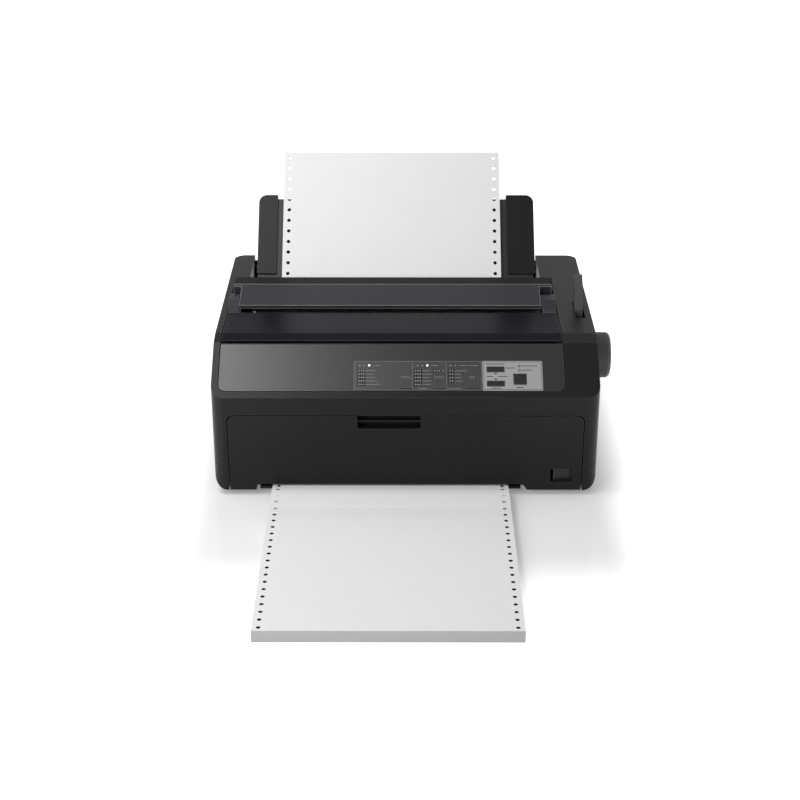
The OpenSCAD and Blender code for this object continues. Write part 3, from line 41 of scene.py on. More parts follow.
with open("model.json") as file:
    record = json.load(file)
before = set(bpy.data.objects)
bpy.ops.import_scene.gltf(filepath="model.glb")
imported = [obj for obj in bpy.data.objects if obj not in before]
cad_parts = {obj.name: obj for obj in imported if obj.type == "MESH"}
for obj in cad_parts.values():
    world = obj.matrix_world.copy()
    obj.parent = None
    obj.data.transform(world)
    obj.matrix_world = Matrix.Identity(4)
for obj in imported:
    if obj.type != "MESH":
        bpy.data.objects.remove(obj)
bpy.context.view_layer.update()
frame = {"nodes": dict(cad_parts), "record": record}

# ---------------------------------------------------------------- places read off the frame

CASE_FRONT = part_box("upper_case")[0][1] / MM
LEDGE_H = 109.3
PANEL_ANGLE = math.radians(36)
# The line between the two legend plates, from which the panel's graphics are placed
LEGEND_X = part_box("legend_plate_light")[0][0] / MM - 0.2
PLATE_T = 0.4
paper_low, paper_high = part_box("paper")
PAPER_X = (paper_low[0] + paper_high[0]) / 2 / MM
HOLE_X = 114.3
HOLE_REACH = 2.2
HOLE_BOTTOM = 2
STACK_TOP = 12
STACK_RIM = 0.1
STACK_FRONT = paper_low[1] / MM
RIDGE_Y = 25
SUPPLY_BACK = 122.3
BOARD_TOP = 37.6
SOCKET_TOP = 60
SOCKET_FRONT = 128

# ---------------------------------------------------------------- numbers of the materials

# The part of a noise value that is spread over the wanted range
NOISE_MIDDLE = (0.3, 0.7)
# Width of the painted highlight along sharp edges
EDGE_HIGHLIGHT_WIDTH = 0.7
# Agreement of the rounded and the true normal, from the full painted edge highlight to none
EDGE_HIGHLIGHT_LIMITS = (0.955, 0.998)
PAGE_LINE_SCALE = 320
PAGE_LINE_WAVER = 1.2
# A face counts as upright when its normal rises by less than this
UPRIGHT_LIMIT = 0.4
SHEEN_SPREAD = 0.05
BRUSH_SPREAD = 0.08


def on_slope(x, up, out):
    """Point on the control panel: x across, up the slope, out of its face."""
    return Vector((
        x,
        CASE_FRONT + up * math.cos(PANEL_ANGLE) - out * math.sin(PANEL_ANGLE),
        LEDGE_H + up * math.sin(PANEL_ANGLE) + out * math.cos(PANEL_ANGLE),
    )) * MM


# ---------------------------------------------------------------- materials

def new_material(name):
    """An empty material with its shader, as (material, node tree, shader)."""
    mat = bpy.data.materials.new(name)
    mat.use_nodes = True
    tree = mat.node_tree
    return mat, tree, tree.nodes["Principled BSDF"]


def object_coords(tree):
    node = tree.nodes.new("ShaderNodeTexCoord")
    return node.outputs["Object"]


def noise(tree, coords, scale, detail=2.0, roughness=0.5):
    node = tree.nodes.new("ShaderNodeTexNoise")
    node.inputs["Scale"].default_value = scale
    node.inputs["Detail"].default_value = detail
    node.inputs["Roughness"].default_value = roughness
    tree.links.new(coords, node.inputs["Vector"])
    return node.outputs["Fac"]


def axes(tree, vector):
    """The outputs X, Y and Z of a vector."""
    node = tree.nodes.new("ShaderNodeSeparateXYZ")
    tree.links.new(vector, node.inputs["Vector"])
    return node.outputs


def math_node(tree, operation, first, second):
    """Links or sets both inputs of a Math node and gives its output."""
    node = tree.nodes.new("ShaderNodeMath")
    node.operation = operation
    for socket, value in zip(node.inputs, (first, second)):
        if isinstance(value, (int, float)):
            socket.default_value = value
        else:
            tree.links.new(value, socket)
    return node.outputs["Value"]


def size_of(tree, value):
    return math_node(tree, "ABSOLUTE", value, 0)


def map_range(tree, value, limits, targets, interpolation="LINEAR"):
    """Maps a value from the pair of limits onto the pair of targets."""
    node = tree.nodes.new("ShaderNodeMapRange")
    node.interpolation_type = interpolation
    node.inputs["From Min"].default_value, node.inputs["From Max"].default_value = limits
    node.inputs["To Min"].default_value, node.inputs["To Max"].default_value = targets
    tree.links.new(value, node.inputs["Value"])
    return node.outputs["Result"]


def ramp(tree, value, low, high):
    """Maps the middle of a noise value onto low to high."""
    return map_range(tree, value, NOISE_MIDDLE, (low, high))


def blend_colours(tree, value, first, second):
    node = tree.nodes.new("ShaderNodeMix")
    node.data_type = "RGBA"
    node.inputs["A"].default_value = (*first, 1)
    node.inputs["B"].default_value = (*second, 1)
    tree.links.new(value, node.inputs["Factor"])
    return node.outputs["Result"]


def mix_colour(tree, value, below, above):
    """Lays a fixed colour over a linked one where value is 1."""
    node = tree.nodes.new("ShaderNodeMix")
    node.data_type = "RGBA"
    node.inputs["B"].default_value = (*above, 1)
    tree.links.new(value, node.inputs["Factor"])
    tree.links.new(below, node.inputs["A"])
    return node.outputs["Result"]


def bump(tree, height, strength, distance, below=None):
    node = tree.nodes.new("ShaderNodeBump")
    node.inputs["Strength"].default_value = strength
    node.inputs["Distance"].default_value = distance
    tree.links.new(height, node.inputs["Height"])
    if below is not None:
        tree.links.new(below, node.inputs["Normal"])
    return node.outputs["Normal"]


def scaled(colour, factor):
    return tuple(min(1.0, c * factor) for c in colour)


def painted_edge_highlight(tree, tint, colour):
    """Lightens a colour along sharp edges as a painted highlight, where rounded edges would catch the
    light.
    """
    bevel = tree.nodes.new("ShaderNodeBevel")
    bevel.samples = 4
    bevel.inputs["Radius"].default_value = EDGE_HIGHLIGHT_WIDTH * MM
    geometry = tree.nodes.new("ShaderNodeNewGeometry")
    turned = tree.nodes.new("ShaderNodeVectorMath")
    turned.operation = "DOT_PRODUCT"
    tree.links.new(bevel.outputs["Normal"], turned.inputs[0])
    tree.links.new(geometry.outputs["Normal"], turned.inputs[1])
    edge_light = map_range(tree, turned.outputs["Value"], EDGE_HIGHLIGHT_LIMITS, (1, 0))
    return mix_colour(tree, edge_light, tint, colour)


def plastic(name, colour, rough, spec, grain=1.0, grain_scale=1400, cloud=0.12, edge_light_colour=None):
    """Moulded plastic: a fine sparked grain, faint clouding, uneven sheen and a painted highlight along
    the edges.
    """
    mat, tree, shader = new_material(name)
    coords = object_coords(tree)
    clouds = noise(tree, coords, 9, 3)
    tint = blend_colours(tree, clouds, scaled(colour, 1 - cloud), scaled(colour, 1 + cloud))
    # the colour given for the edges is painted on them as a highlight
    if edge_light_colour:
        tint = painted_edge_highlight(tree, tint, edge_light_colour)
    tree.links.new(tint, shader.inputs["Base Color"])
    fine = noise(tree, coords, grain_scale, 3, 0.6)
    sheen = ramp(tree, fine, rough - SHEEN_SPREAD, rough + SHEEN_SPREAD)
    tree.links.new(sheen, shader.inputs["Roughness"])
    shader.inputs["Specular IOR Level"].default_value = spec
    tree.links.new(bump(tree, fine, 0.35 * grain, 0.00012), shader.inputs["Normal"])
    return mat


def fade_behind(mat, limit, colour, rough, metallic=None):
    """Gives the part of a material behind a limit in Y another colour and roughness."""
    tree = mat.node_tree
    shader = tree.nodes["Principled BSDF"]
    behind = math_node(tree, "GREATER_THAN", axes(tree, object_coords(tree))["Y"], limit * MM)
    before = math_node(tree, "SUBTRACT", 1, behind)
    tint = shader.inputs["Base Color"].links[0].from_socket
    tree.links.new(mix_colour(tree, behind, tint, colour), shader.inputs["Base Color"])
    sheen = shader.inputs["Roughness"].links[0].from_socket
    kept = math_node(tree, "MULTIPLY", sheen, before)
    added = math_node(tree, "MULTIPLY", behind, rough)
    tree.links.new(math_node(tree, "ADD", kept, added), shader.inputs["Roughness"])
    if metallic is not None:
        tree.links.new(before, shader.inputs["Metallic"])


def paint_ridge_highlight(mat, middle, half, colour):
    """Lightens a narrow line along X as a painted highlight along a ridge."""
    tree = mat.node_tree
    shader = tree.nodes["Principled BSDF"]
    across = math_node(tree, "SUBTRACT", axes(tree, object_coords(tree))["Y"], middle * MM)
    near = math_node(tree, "LESS_THAN", size_of(tree, across), half * MM)
    tint = shader.inputs["Base Color"].links[0].from_socket
    tree.links.new(mix_colour(tree, near, tint, colour), shader.inputs["Base Color"])


def metal(name, colour, rough, stretch=(1, 30, 30)):
    """Sheet or turned metal with a faint directional brush and cloudy plating."""
    mat, tree, shader = new_material(name)
    coords = object_coords(tree)
    mapping = tree.nodes.new("ShaderNodeMapping")
    mapping.inputs["Scale"].default_value = stretch
    tree.links.new(coords, mapping.inputs["Vector"])
    brushed = noise(tree, mapping.outputs["Vector"], 60, 4)
    clouds = noise(tree, coords, 25, 2)
    tint = blend_colours(tree, clouds, scaled(colour, 0.9), scaled(colour, 1.05))
    tree.links.new(tint, shader.inputs["Base Color"])
    sheen = ramp(tree, brushed, rough - BRUSH_SPREAD, rough + BRUSH_SPREAD)
    tree.links.new(sheen, shader.inputs["Roughness"])
    shader.inputs["Metallic"].default_value = 1.0
    tree.links.new(bump(tree, brushed, 0.1, 0.0001), shader.inputs["Normal"])
    return mat


def rubber(name, colour):
    mat, tree, shader = new_material(name)
    coords = object_coords(tree)
    fine = noise(tree, coords, 700, 4)
    tint = blend_colours(tree, fine, scaled(colour, 0.8), scaled(colour, 1.25))
    tree.links.new(tint, shader.inputs["Base Color"])
    shader.inputs["Roughness"].default_value = 0.75
    shader.inputs["Specular IOR Level"].default_value = 0.3
    tree.links.new(bump(tree, fine, 0.3, 0.0002), shader.inputs["Normal"])
    return mat


def paper_material(name):
    """Uncoated paper: fibre mottle, page edges on the stack's sides and painted shade inside the punched
    holes.
    """
    mat, tree, shader = new_material(name)
    coords = object_coords(tree)
    fibres = noise(tree, coords, 900, 5, 0.65)
    mottle = noise(tree, coords, 40, 3)
    tint = blend_colours(tree, mottle, (0.79, 0.79, 0.805), (0.83, 0.83, 0.84))
    place = axes(tree, coords)
    geometry = tree.nodes.new("ShaderNodeNewGeometry")
    facing = axes(tree, geometry.outputs["True Normal"])
    # fine lines of the page edges, on upright faces of the stack
    wave = tree.nodes.new("ShaderNodeTexWave")
    wave.bands_direction = "Z"
    wave.inputs["Scale"].default_value = PAGE_LINE_SCALE
    wave.inputs["Distortion"].default_value = PAGE_LINE_WAVER
    wave.inputs["Detail"].default_value = 3
    wave.inputs["Detail Scale"].default_value = 0.4
    tree.links.new(coords, wave.inputs["Vector"])
    upright = math_node(tree, "LESS_THAN", size_of(tree, facing["Z"]), UPRIGHT_LIMIT)
    in_stack = math_node(tree, "LESS_THAN", place["Z"], (STACK_TOP - STACK_RIM) * MM)
    walls = math_node(tree, "MULTIPLY", upright, in_stack)
    lines = math_node(tree, "MULTIPLY", walls, wave.outputs["Fac"])
    tint = mix_colour(tree, lines, tint, (0.50, 0.50, 0.515))
    # painted shade inside the punched holes of the stack: away from its sides and ends, below its top
    across = size_of(tree, math_node(tree, "SUBTRACT", place["X"], PAPER_X * MM))
    from_hole = size_of(tree, math_node(tree, "SUBTRACT", across, HOLE_X * MM))
    beside = math_node(tree, "LESS_THAN", from_hole, HOLE_REACH * MM)
    behind_front = math_node(tree, "GREATER_THAN", place["Y"], (STACK_FRONT + 2) * MM)
    bottoms = math_node(tree, "LESS_THAN", place["Z"], HOLE_BOTTOM * MM)
    deep = math_node(tree, "MAXIMUM", walls, bottoms)
    inside = math_node(tree, "MULTIPLY", math_node(tree, "MULTIPLY", beside, behind_front), deep)
    tint = mix_colour(tree, inside, tint, (0.05, 0.05, 0.052))
    tree.links.new(tint, shader.inputs["Base Color"])
    shader.inputs["Roughness"].default_value = 0.85
    shader.inputs["Specular IOR Level"].default_value = 0.25
    tree.links.new(bump(tree, fibres, 0.12, 0.0001), shader.inputs["Normal"])
    return mat


def smoked_material(name):
    """Dark tinted see-through plastic with a satin surface."""
    mat, tree, shader = new_material(name)
    coords = object_coords(tree)
    clouds = noise(tree, coords, 9, 3)
    tint = blend_colours(tree, clouds, (0.0060, 0.0054, 0.0088), (0.0072, 0.0066, 0.0104))
    # painted highlight along the edges
    tint = painted_edge_highlight(tree, tint, (0.12, 0.118, 0.13))
    tree.links.new(tint, shader.inputs["Base Color"])
    fine = noise(tree, coords, 1400, 3, 0.6)
    tree.links.new(ramp(tree, fine, 0.24, 0.32), shader.inputs["Roughness"])
    shader.inputs["Specular IOR Level"].default_value = 0.08
    shader.inputs["Alpha"].default_value = 0.94
    tree.links.new(bump(tree, fine, 0.1, 0.00012), shader.inputs["Normal"])
    return mat


def board(name):
    """Printed circuit board: green mask over tracks, with dark chips and plated sockets."""
    mat, tree, shader = new_material(name)
    coords = object_coords(tree)
    cells = tree.nodes.new("ShaderNodeTexBrick")
    cells.inputs["Scale"].default_value = 90
    cells.inputs["Mortar Size"].default_value = 0.03
    cells.inputs["Color1"].default_value = (0.02, 0.13, 0.06, 1)
    cells.inputs["Color2"].default_value = (0.02, 0.16, 0.07, 1)
    cells.inputs["Mortar"].default_value = (0.05, 0.26, 0.12, 1)
    tree.links.new(coords, cells.inputs["Vector"])
    # chips stand above the board, and the sockets behind them are plated
    place = axes(tree, coords)
    above = math_node(tree, "GREATER_THAN", place["Z"], (BOARD_TOP + 0.1) * MM)
    inside = math_node(tree, "LESS_THAN", place["Z"], SOCKET_TOP * MM)
    raised = math_node(tree, "MULTIPLY", above, inside)
    at_rear = math_node(tree, "GREATER_THAN", place["Y"], SOCKET_FRONT * MM)
    tint = mix_colour(tree, raised, cells.outputs["Color"], (0.012, 0.012, 0.012))
    sockets = math_node(tree, "MULTIPLY", raised, at_rear)
    tint = mix_colour(tree, sockets, tint, (0.36, 0.36, 0.37))
    tree.links.new(tint, shader.inputs["Base Color"])
    shader.inputs["Roughness"].default_value = 0.35
    tree.links.new(bump(tree, cells.outputs["Fac"], 0.2, 0.0002), shader.inputs["Normal"])
    return mat


def glowing(name, colour, strength):
    mat, tree, shader = new_material(name)
    shader.inputs["Base Color"].default_value = (*colour, 1)
    shader.inputs["Roughness"].default_value = 0.3
    shader.inputs["Emission Color"].default_value = (*colour, 1)
    shader.inputs["Emission Strength"].default_value = strength
    return mat


# The last colour of a plastic is the painted highlight along its edges.
case_black = plastic("case_black", (0.0105, 0.0105, 0.0108), 0.40, 0.21, edge_light_colour=(0.06, 0.06, 0.061))
panel_black = plastic("panel_black", (0.0125, 0.0125, 0.0128), 0.36, 0.62, edge_light_colour=(0.10, 0.10, 0.10))
cover_black = plastic("cover_black", (0.023, 0.0215, 0.0265), 0.44, 0.38, edge_light_colour=(0.15, 0.15, 0.16))
exit_black = plastic("exit_black", (0.028, 0.0265, 0.032), 0.42, 0.38, edge_light_colour=(0.50, 0.50, 0.52))
fade_behind(exit_black, RIDGE_Y + 0.8, (0.005, 0.005, 0.0055), 0.85)
# painted highlight along the exit cover's ridge
paint_ridge_highlight(exit_black, RIDGE_Y, 0.7, (0.15, 0.15, 0.155))
psu_steel = metal("psu_steel", (0.60, 0.61, 0.63), 0.32)
fade_behind(psu_steel, SUPPLY_BACK, (0.012, 0.012, 0.012), 0.5, metallic=0)
button_black = plastic("button_black", (0.0085, 0.0085, 0.009), 0.38, 0.5, edge_light_colour=(0.12, 0.12, 0.12))
knob_grey = plastic("knob_grey", (0.10, 0.101, 0.104), 0.5, 0.5, edge_light_colour=(0.16, 0.16, 0.165))
lever_grey = plastic("lever_grey", (0.066, 0.066, 0.068), 0.42, 0.5)
legend_dark = plastic("legend_dark", (0.024, 0.024, 0.025), 0.36, 0.8, grain=0.3)
legend_light = plastic("legend_light", (0.34, 0.34, 0.345), 0.4, 0.5, grain=0.3, cloud=0.04)
legend_ink = plastic("legend_ink", (0.17, 0.17, 0.175), 0.5, 0.3, grain=0.2)
legend_faint = plastic("legend_faint", (0.19, 0.19, 0.195), 0.5, 0.3, grain=0.2)
legend_ink_dark = plastic("legend_ink_dark", (0.03, 0.03, 0.031), 0.5, 0.3, grain=0.2)
window_black = plastic("window_black", (0.005, 0.005, 0.005), 0.4, 0.2, grain=0.2)
lamp_window = plastic("lamp_window", (0.42, 0.41, 0.37), 0.3, 0.5, grain=0.2)
mode_button = plastic("mode_button", (0.028, 0.028, 0.029), 0.36, 0.7, edge_light_colour=(0.2, 0.2, 0.2))
gear_white = plastic("gear_white", (0.62, 0.61, 0.57), 0.38, 0.5)
ribbon_cloth = plastic("ribbon_cloth", (0.012, 0.012, 0.014), 0.8, 0.2, grain=2, grain_scale=2600)
rubber_black = rubber("rubber_black", (0.012, 0.012, 0.012))
steel = metal("steel", (0.60, 0.61, 0.63), 0.32)
motor_metal = metal("motor_metal", (0.12, 0.12, 0.125), 0.42)
head_metal = metal("head_metal", (0.38, 0.39, 0.41), 0.45)
board_green = board("board_green")
paper_white = paper_material("paper_white")
lamp_lit = glowing("lamp_lit", (0.9, 0.95, 0.75), 1.2)
smoked = smoked_material("smoked")

SLOT_LOOK = {
    "case_black": case_black, "cover_black": cover_black, "smoked": smoked,
    "button_black": button_black, "knob_grey": knob_grey, "lever_grey": lever_grey,
    "legend_dark": legend_dark, "legend_light": legend_light, "lamp_window": lamp_window,
    "rubber_black": rubber_black, "steel": steel, "gear_white": gear_white,
    "board_green": board_green, "motor_metal": motor_metal, "head_metal": head_metal,
    "ribbon_cloth": ribbon_cloth, "paper_white": paper_white,
}
NODE_LOOK = {
    "exit_cover": exit_black, "power_supply": psu_steel,
    "control_panel": panel_black, "mode_button_left": mode_button,
    "mode_button_middle": mode_button, "mode_button_right": mode_button,
}
# Edge rounding of the moulded pieces that show, in millimetres
EDGE_ROUNDING = {
    "upper_case": 0.5, "lower_case": 0.4, "front_cover": 0.5, "control_panel": 0.4,
    "exit_cover": 0.5, "smoked_cover": 0.4, "cover_clips": 0.7, "platen_knob": 0.5,
    "release_lever": 0.9, "edge_guide_left": 0.5, "edge_guide_right": 0.5, "paper_guide": 0.4,
    "mode_button_left": 0.5, "mode_button_middle": 0.5, "mode_button_right": 0.5,
    "load_button": 0.5, "feed_button": 0.5, "pause_button": 0.5, "power_rocker": 0.4,
}


def round_edges(node, width):
    """Rounds the sharp edges of a piece so that they catch the light."""
    rounding = node.modifiers.new("edges", "BEVEL")
    rounding.width = width * MM
    rounding.segments = 3
    rounding.limit_method = "ANGLE"
    rounding.angle_limit = math.radians(40)
    rounding.harden_normals = False
    rounding.use_clamp_overlap = True


def dress_nodes():
    """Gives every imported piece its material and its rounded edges."""
    for part in frame["record"]["subparts"]:
        node = frame["nodes"][part["node"]]
        look = NODE_LOOK.get(part["node"], SLOT_LOOK[part["material_slot"]])
        node.data.materials.clear()
        node.data.materials.append(look)
        if part["node"] in EDGE_ROUNDING:
            round_edges(node, EDGE_ROUNDING[part["node"]])


# ---------------------------------------------------------------- panel graphics

def mesh_piece(name, shapes, material, body="chassis"):
    """A piece made of closed shapes, each a lower and an upper ring, that rides on a body."""
    mesh = bpy.data.meshes.new(name)
    maker = bmesh.new()
    for low, high in shapes:
        bottom = [maker.verts.new(p) for p in low]
        top = [maker.verts.new(p) for p in high]
        maker.faces.new(top)
        maker.faces.new(list(reversed(bottom)))
        for i in range(len(low)):
            j = (i + 1) % len(low)
            maker.faces.new((bottom[i], bottom[j], top[j], top[i]))
    maker.to_mesh(mesh)
    maker.free()
    piece = bpy.data.objects.new(name, mesh)
    bpy.context.collection.objects.link(piece)
    mesh.materials.append(material)
    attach(piece, body)
    return piece


def printed(outline, base, thickness):
    """A thin printed mark on the panel: its lower and upper rings."""
    return (
        [on_slope(x, up, base) for x, up in outline],
        [on_slope(x, up, base + thickness) for x, up in outline],
    )


def bar(x, up, width, length):
    return [(x, up), (x + width, up), (x + width, up + length), (x, up + length)]


def frame_lines(limits, line):
    """Four bars round a rectangle, given as its limits across from LEGEND_X and up the slope."""
    across, up = limits
    x = [LEGEND_X + place for place in across]
    return [
        bar(x[0], up[0], x[1] - x[0], line), bar(x[0], up[1] - line, x[1] - x[0], line),
        bar(x[0], up[0], line, up[1] - up[0]), bar(x[1] - line, up[0], line, up[1] - up[0]),
    ]


INK_T = 0.08
INK_LINE = 0.45
LIGHT_LINE = 0.35
STROKE = 0.75
# Frames of the plates, across from LEGEND_X and up the slope, and the dividers of the dark one
DARK_FRAME = ((-129.2, -0.7), (8.7, 42.2))
DARK_DIVIDERS = (-70.3, -36.4)
LIGHT_FRAME = ((1.2, 59.7), (9.3, 41.6))
# Triangles of the light plate: place across, then place up and half width, below 0 pointing down
TRIANGLE_X = 13.45
TRIANGLES = ((27.9, -1.5), (21.6, 1.5))
# Indicator windows: columns and rows of each group, first window, and pitch across
LAMP_ROW = 3.98
LAMP_GROUPS = [
    (3, 5, -124.0, 15.2, 2.3), (3, 5, -67.2, 15.2, 2.35),
    (2, 4, -32.5, 19.1, 2.5), (3, 1, -47.9, 31.1, 2.4),
]
LAMP_HALF_W = 0.55
LAMP_HALF_H = 0.65
WINDOW_T = 0.25
# The black boxes round the windows: margin at the sides, half height and thickness
BOX_MARGIN = 0.45
BOX_HALF_H = 1.55
BOX_T = 0.12
# Radii of the round lamps, and how far the lit ones stand out
DIM_LAMP_R = 0.55
PLATE_LAMP_R = 0.6
PLATE_RING_R = 1.35
LIT_LAMP_R = 1.2
LIT_LAMP_T = 0.4
GLOW_R = 1.05
GLOW_T = 0.1
LIT_LAMPS = [(-114, 37.1), (-55.3, 37.1)]
DIM_LAMPS = [(-123.6, 37), (-118.8, 37), (-65, 37), (-60.3, 37), (-31.8, 37), (-27, 37)]
PLATE_LAMPS = [(37.5, 36.7), (37.5, 31.9)]
# Neutral strokes where the panel is printed: start across, place up the slope, length
DARK_STROKES = [
    (-110.4, 36.8, 7.2), (-51.5, 36.8, 7.4), (-23.4, 36.8, 8), (-14.2, 36.8, 10.5),
    (-82.1, 23.6, 8.6), (-48.1, 23.6, 8.8), (-12.7, 23.6, 5.3), (-64.7, 10.2, 9.4), (-34, 10.2, 12.5),
    (-41.2, 30.8, 3),
]
# Strokes beside the indicator windows: start across, rows, first row, lengths
LABEL_COLUMNS = [
    (-117, 5, 15.2, (14.5, 11.5, 9, 8, 9.5)), (-60, 5, 15.2, (8, 9, 7, 8.5, 7.5)),
    (-27.4, 4, 19.1, (7.5, 6.5, 6, 12)),
]
LABEL_DROP = 0.35
LIGHT_STROKES = [
    (3.8, 38.6, 18.5), (24, 34, 8.8), (40, 36.4, 15.5), (40, 31.6, 10.3), (4.4, 24.2, 6.6),
    (16, 24.2, 9), (9, 10.7, 9.4), (34, 11.4, 7.5),
]
MODE_BUTTONS = [(-76.35, 16.6), (-43.1, 16.6), (-9, 16.6)]
MODE_BUTTON_HALF = 4.9
# Painted shade round a mode button, drawn as dark lines: gap to it, width at the sides and width below
SHADE_GAP = 0.25
SHADE_SIDE = 0.6
SHADE_BELOW = 1


def button_shades(x, up):
    """Painted shade at both sides of a mode button, as dark lines, and a broader painted shadow below it.
    """
    edge = MODE_BUTTON_HALF + SHADE_GAP
    foot = up - edge - SHADE_BELOW
    length = 2 * edge + SHADE_BELOW
    return [
        bar(x - edge - SHADE_SIDE, foot, SHADE_SIDE, length), bar(x + edge, foot, SHADE_SIDE, length),
        bar(x - edge, foot, 2 * edge, SHADE_BELOW),
    ]


def boxed(x, up, half_w, half_h):
    return bar(x - half_w, up - half_h, 2 * half_w, 2 * half_h)


def panel_graphics():
    """Frames, dividers and neutral marks in the places where the panel is printed."""
    dark = frame_lines(DARK_FRAME, INK_LINE)
    foot, head = DARK_FRAME[1]
    dark += [bar(LEGEND_X + x, foot, INK_LINE, head - foot) for x in DARK_DIVIDERS]
    mesh_piece(
        "panel_frames", [printed(o, PLATE_T, INK_T) for o in dark], legend_ink
    )
    strokes = [bar(LEGEND_X + x, up, length, STROKE) for x, up, length in DARK_STROKES]
    for x, rows, first, lengths in LABEL_COLUMNS:
        for i in range(rows):
            strokes.append(bar(LEGEND_X + x, first + i * LAMP_ROW - LABEL_DROP, lengths[i], STROKE))
    mesh_piece(
        "panel_strokes", [printed(o, PLATE_T, INK_T) for o in strokes], legend_faint
    )
    light = frame_lines(LIGHT_FRAME, LIGHT_LINE)
    middle = LEGEND_X + TRIANGLE_X
    for up, tip in TRIANGLES:
        light.append([
            (middle - tip, up - tip / 2), (middle + tip, up - tip / 2), (middle, up + tip / 2 + tip * 0.3),
        ])
    light += [bar(LEGEND_X + x, up, length, STROKE) for x, up, length in LIGHT_STROKES]
    light += [disc(LEGEND_X + x, up, PLATE_RING_R) for x, up in PLATE_LAMPS]
    mesh_piece(
        "panel_marks_light", [printed(o, PLATE_T, INK_T) for o in light],
        legend_ink_dark,
    )


def disc(x, up, radius, corners=20):
    turns = [2 * math.pi * i / corners for i in range(corners)]
    return [(x + radius * math.cos(a), up + radius * math.sin(a)) for a in turns]


def indicators():
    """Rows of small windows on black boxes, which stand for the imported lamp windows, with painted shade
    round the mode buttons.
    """
    boxes_and_shades, windows = [], []
    for columns, rows, x, up, pitch in LAMP_GROUPS:
        for row in range(rows):
            level = up + row * LAMP_ROW
            middle = LEGEND_X + x + (columns - 1) * pitch / 2
            boxes_and_shades.append(boxed(middle, level, columns * pitch / 2 + BOX_MARGIN, BOX_HALF_H))
            for column in range(columns):
                windows.append(boxed(LEGEND_X + x + column * pitch, level, LAMP_HALF_W, LAMP_HALF_H))
    # painted shade round the mode buttons, laid on the black piece with the boxes
    for x, up in MODE_BUTTONS:
        boxes_and_shades += button_shades(LEGEND_X + x, up)
    mesh_piece(
        "indicator_boxes_and_button_shade", [printed(o, PLATE_T, BOX_T) for o in boxes_and_shades], window_black
    )
    windows += [disc(LEGEND_X + x, up, DIM_LAMP_R) for x, up in DIM_LAMPS]
    windows += [disc(LEGEND_X + x, up, PLATE_LAMP_R) for x, up in PLATE_LAMPS]
    shapes = [printed(o, PLATE_T, WINDOW_T) for o in windows]
    shapes += [printed(disc(LEGEND_X + x, up, LIT_LAMP_R), PLATE_T, LIT_LAMP_T) for x, up in LIT_LAMPS]
    piece = mesh_piece("indicator_windows", shapes, lamp_window)
    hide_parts("status_lamps")
    lit = [
        printed(disc(LEGEND_X + x, up, GLOW_R), PLATE_T + LIT_LAMP_T, GLOW_T) for x, up in LIT_LAMPS
    ]
    mesh_piece("lit_lamps", lit, lamp_lit)


# ---------------------------------------------------------------- stage, light and camera

FLOOR_RADIUS = 12.0
WALL_RISE = 3.0
# Radius and height of the floor's rings, from inside to its rim
FLOOR_RINGS = [
    (1.0, 0.0), (FLOOR_RADIUS - 2, 0.0), (FLOOR_RADIUS - 0.6, 0.3), (FLOOR_RADIUS, WALL_RISE),
]
FLOOR_CORNERS = 96
FLOOR_DROP = 0.0004
FLOOR_WHITE = 0.72
# The floor's own light near the object and away from it, and the shade's half width and half depth,
# its growth to the sides against that ahead, its middle and how far it reaches
NEAR_GLOW = 0.22
FAR_GLOW = 1.0
SHADE_HALF_W = 0.19
SHADE_HALF_D = 0.20
SIDE_SPEED = 2.2
SHADE_MIDDLE_Y = -0.06
SHADE_REACH = 0.15
WORLD_LIGHT = 0.46


def shown_ray(tree):
    """1 for rays that the camera sees directly, in a reflection or through a clear piece."""
    path = tree.nodes.new("ShaderNodeLightPath")
    seen = math_node(tree, "MAXIMUM", path.outputs["Is Camera Ray"], path.outputs["Is Glossy Ray"])
    return math_node(tree, "MAXIMUM", seen, path.outputs["Is Transmission Ray"])


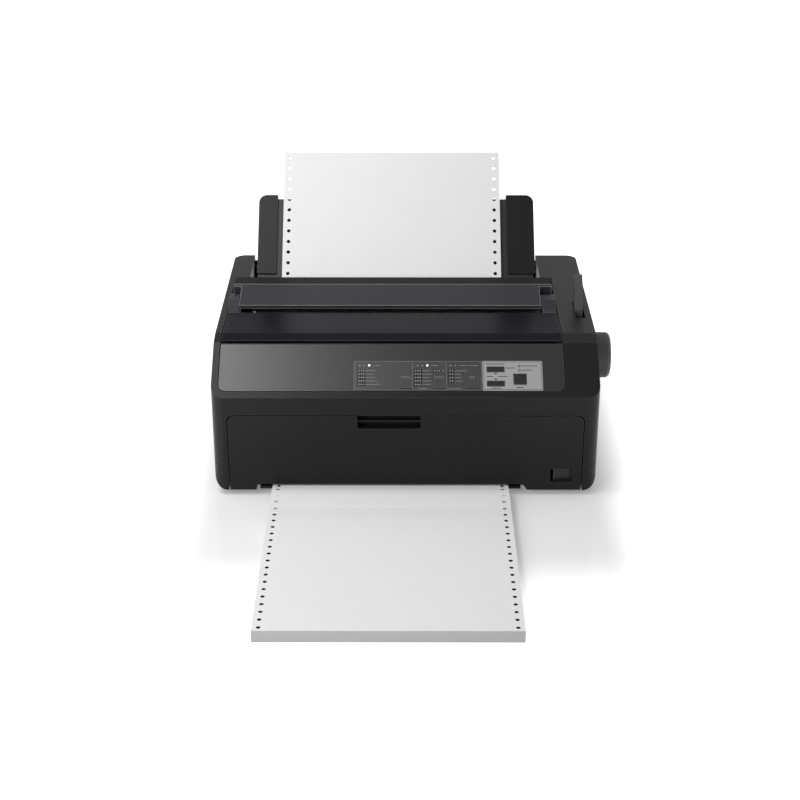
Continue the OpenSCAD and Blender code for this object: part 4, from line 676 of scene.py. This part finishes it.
def make_floor():
    """A white sweep: a round floor whose rim turns up into a low wall far away."""
    maker = bmesh.new()
    centre = maker.verts.new((0, 0, 0))
    loops = []
    for radius, height in FLOOR_RINGS:
        ring = disc(0, 0, radius, FLOOR_CORNERS)
        loops.append([maker.verts.new((x, y, height)) for x, y in ring])
    for i in range(FLOOR_CORNERS):
        j = (i + 1) % FLOOR_CORNERS
        maker.faces.new((centre, loops[0][i], loops[0][j]))
        for inner, outer in zip(loops, loops[1:]):
            maker.faces.new((inner[i], outer[i], outer[j], inner[j]))
    mesh = bpy.data.meshes.new("floor")
    maker.to_mesh(mesh)
    maker.free()
    floor = bpy.data.objects.new("floor", mesh)
    floor.location.z = -FLOOR_DROP
    bpy.context.collection.objects.link(floor)
    mat, tree, shader = new_material("floor_white")
    shader.inputs["Base Color"].default_value = (FLOOR_WHITE, FLOOR_WHITE, FLOOR_WHITE, 1)
    shader.inputs["Roughness"].default_value = 0.14
    shader.inputs["Specular IOR Level"].default_value = 0.5
    # the white grows to full strength away from the object, so that only its shadow shows
    place = axes(tree, object_coords(tree))
    side = math_node(tree, "SUBTRACT", size_of(tree, place["X"]), SHADE_HALF_W)
    from_middle = math_node(tree, "SUBTRACT", place["Y"], SHADE_MIDDLE_Y)
    ahead = math_node(tree, "SUBTRACT", size_of(tree, from_middle), SHADE_HALF_D)
    away = tree.nodes.new("ShaderNodeCombineXYZ")
    beside = math_node(tree, "MAXIMUM", side, 0)
    tree.links.new(math_node(tree, "MULTIPLY", beside, SIDE_SPEED), away.inputs["X"])
    tree.links.new(math_node(tree, "MAXIMUM", ahead, 0), away.inputs["Y"])
    distance = tree.nodes.new("ShaderNodeVectorMath")
    distance.operation = "LENGTH"
    tree.links.new(away.outputs["Vector"], distance.inputs[0])
    glow = map_range(
        tree, distance.outputs["Value"], (0, SHADE_REACH), (NEAR_GLOW, FAR_GLOW), "SMOOTHSTEP"
    )
    strength = math_node(tree, "MULTIPLY", glow, shown_ray(tree))
    shader.inputs["Emission Color"].default_value = (1, 1, 1, 1)
    tree.links.new(strength, shader.inputs["Emission Strength"])
    mesh.materials.append(mat)


def make_world():
    world = bpy.data.worlds.new("studio")
    bpy.context.scene.world = world
    world.use_nodes = True
    back = world.node_tree.nodes["Background"]
    back.inputs["Color"].default_value = (1, 1, 1, 1)
    back.inputs["Strength"].default_value = WORLD_LIGHT


def area_light(name, place, target, size, power):
    data = bpy.data.lights.new(name, "AREA")
    data.shape = "RECTANGLE"
    data.size, data.size_y = size
    data.energy = power
    lamp = bpy.data.objects.new(name, data)
    lamp.location = place
    aim = Vector(target) - Vector(place)
    lamp.rotation_euler = aim.to_track_quat("-Z", "Y").to_euler()
    bpy.context.collection.objects.link(lamp)


def make_lights():
    area_light("key_left", (-0.42, -0.20, 0.98), (-0.10, -0.08, 0.13), (0.40, 0.34), 4.2)
    area_light("fill_left", (-0.85, -1.15, 0.80), (-0.05, -0.15, 0.04), (0.9, 0.6), 7.2)


CAMERA_PLACE = (-2.4, -1640.5, 811)
CAMERA_DOWN = 25.28
CAMERA_TURN = 0.12
FOCAL_PIXELS = 1649
PHOTO_PIXELS = 800
SENSOR = 36


def make_camera():
    data = bpy.data.cameras.new("camera")
    data.sensor_width = SENSOR
    data.lens = FOCAL_PIXELS / PHOTO_PIXELS * SENSOR
    data.clip_end = 100
    camera = bpy.data.objects.new("camera", data)
    camera.location = Vector(CAMERA_PLACE) * MM
    camera.rotation_euler = (math.radians(90 - CAMERA_DOWN), 0, math.radians(CAMERA_TURN))
    bpy.context.collection.objects.link(camera)
    bpy.context.scene.camera = camera


bpy.context.scene.view_settings.view_transform = "Standard"
make_camera()
make_world()
make_lights()
make_floor()
dress_nodes()
panel_graphics()
indicators()
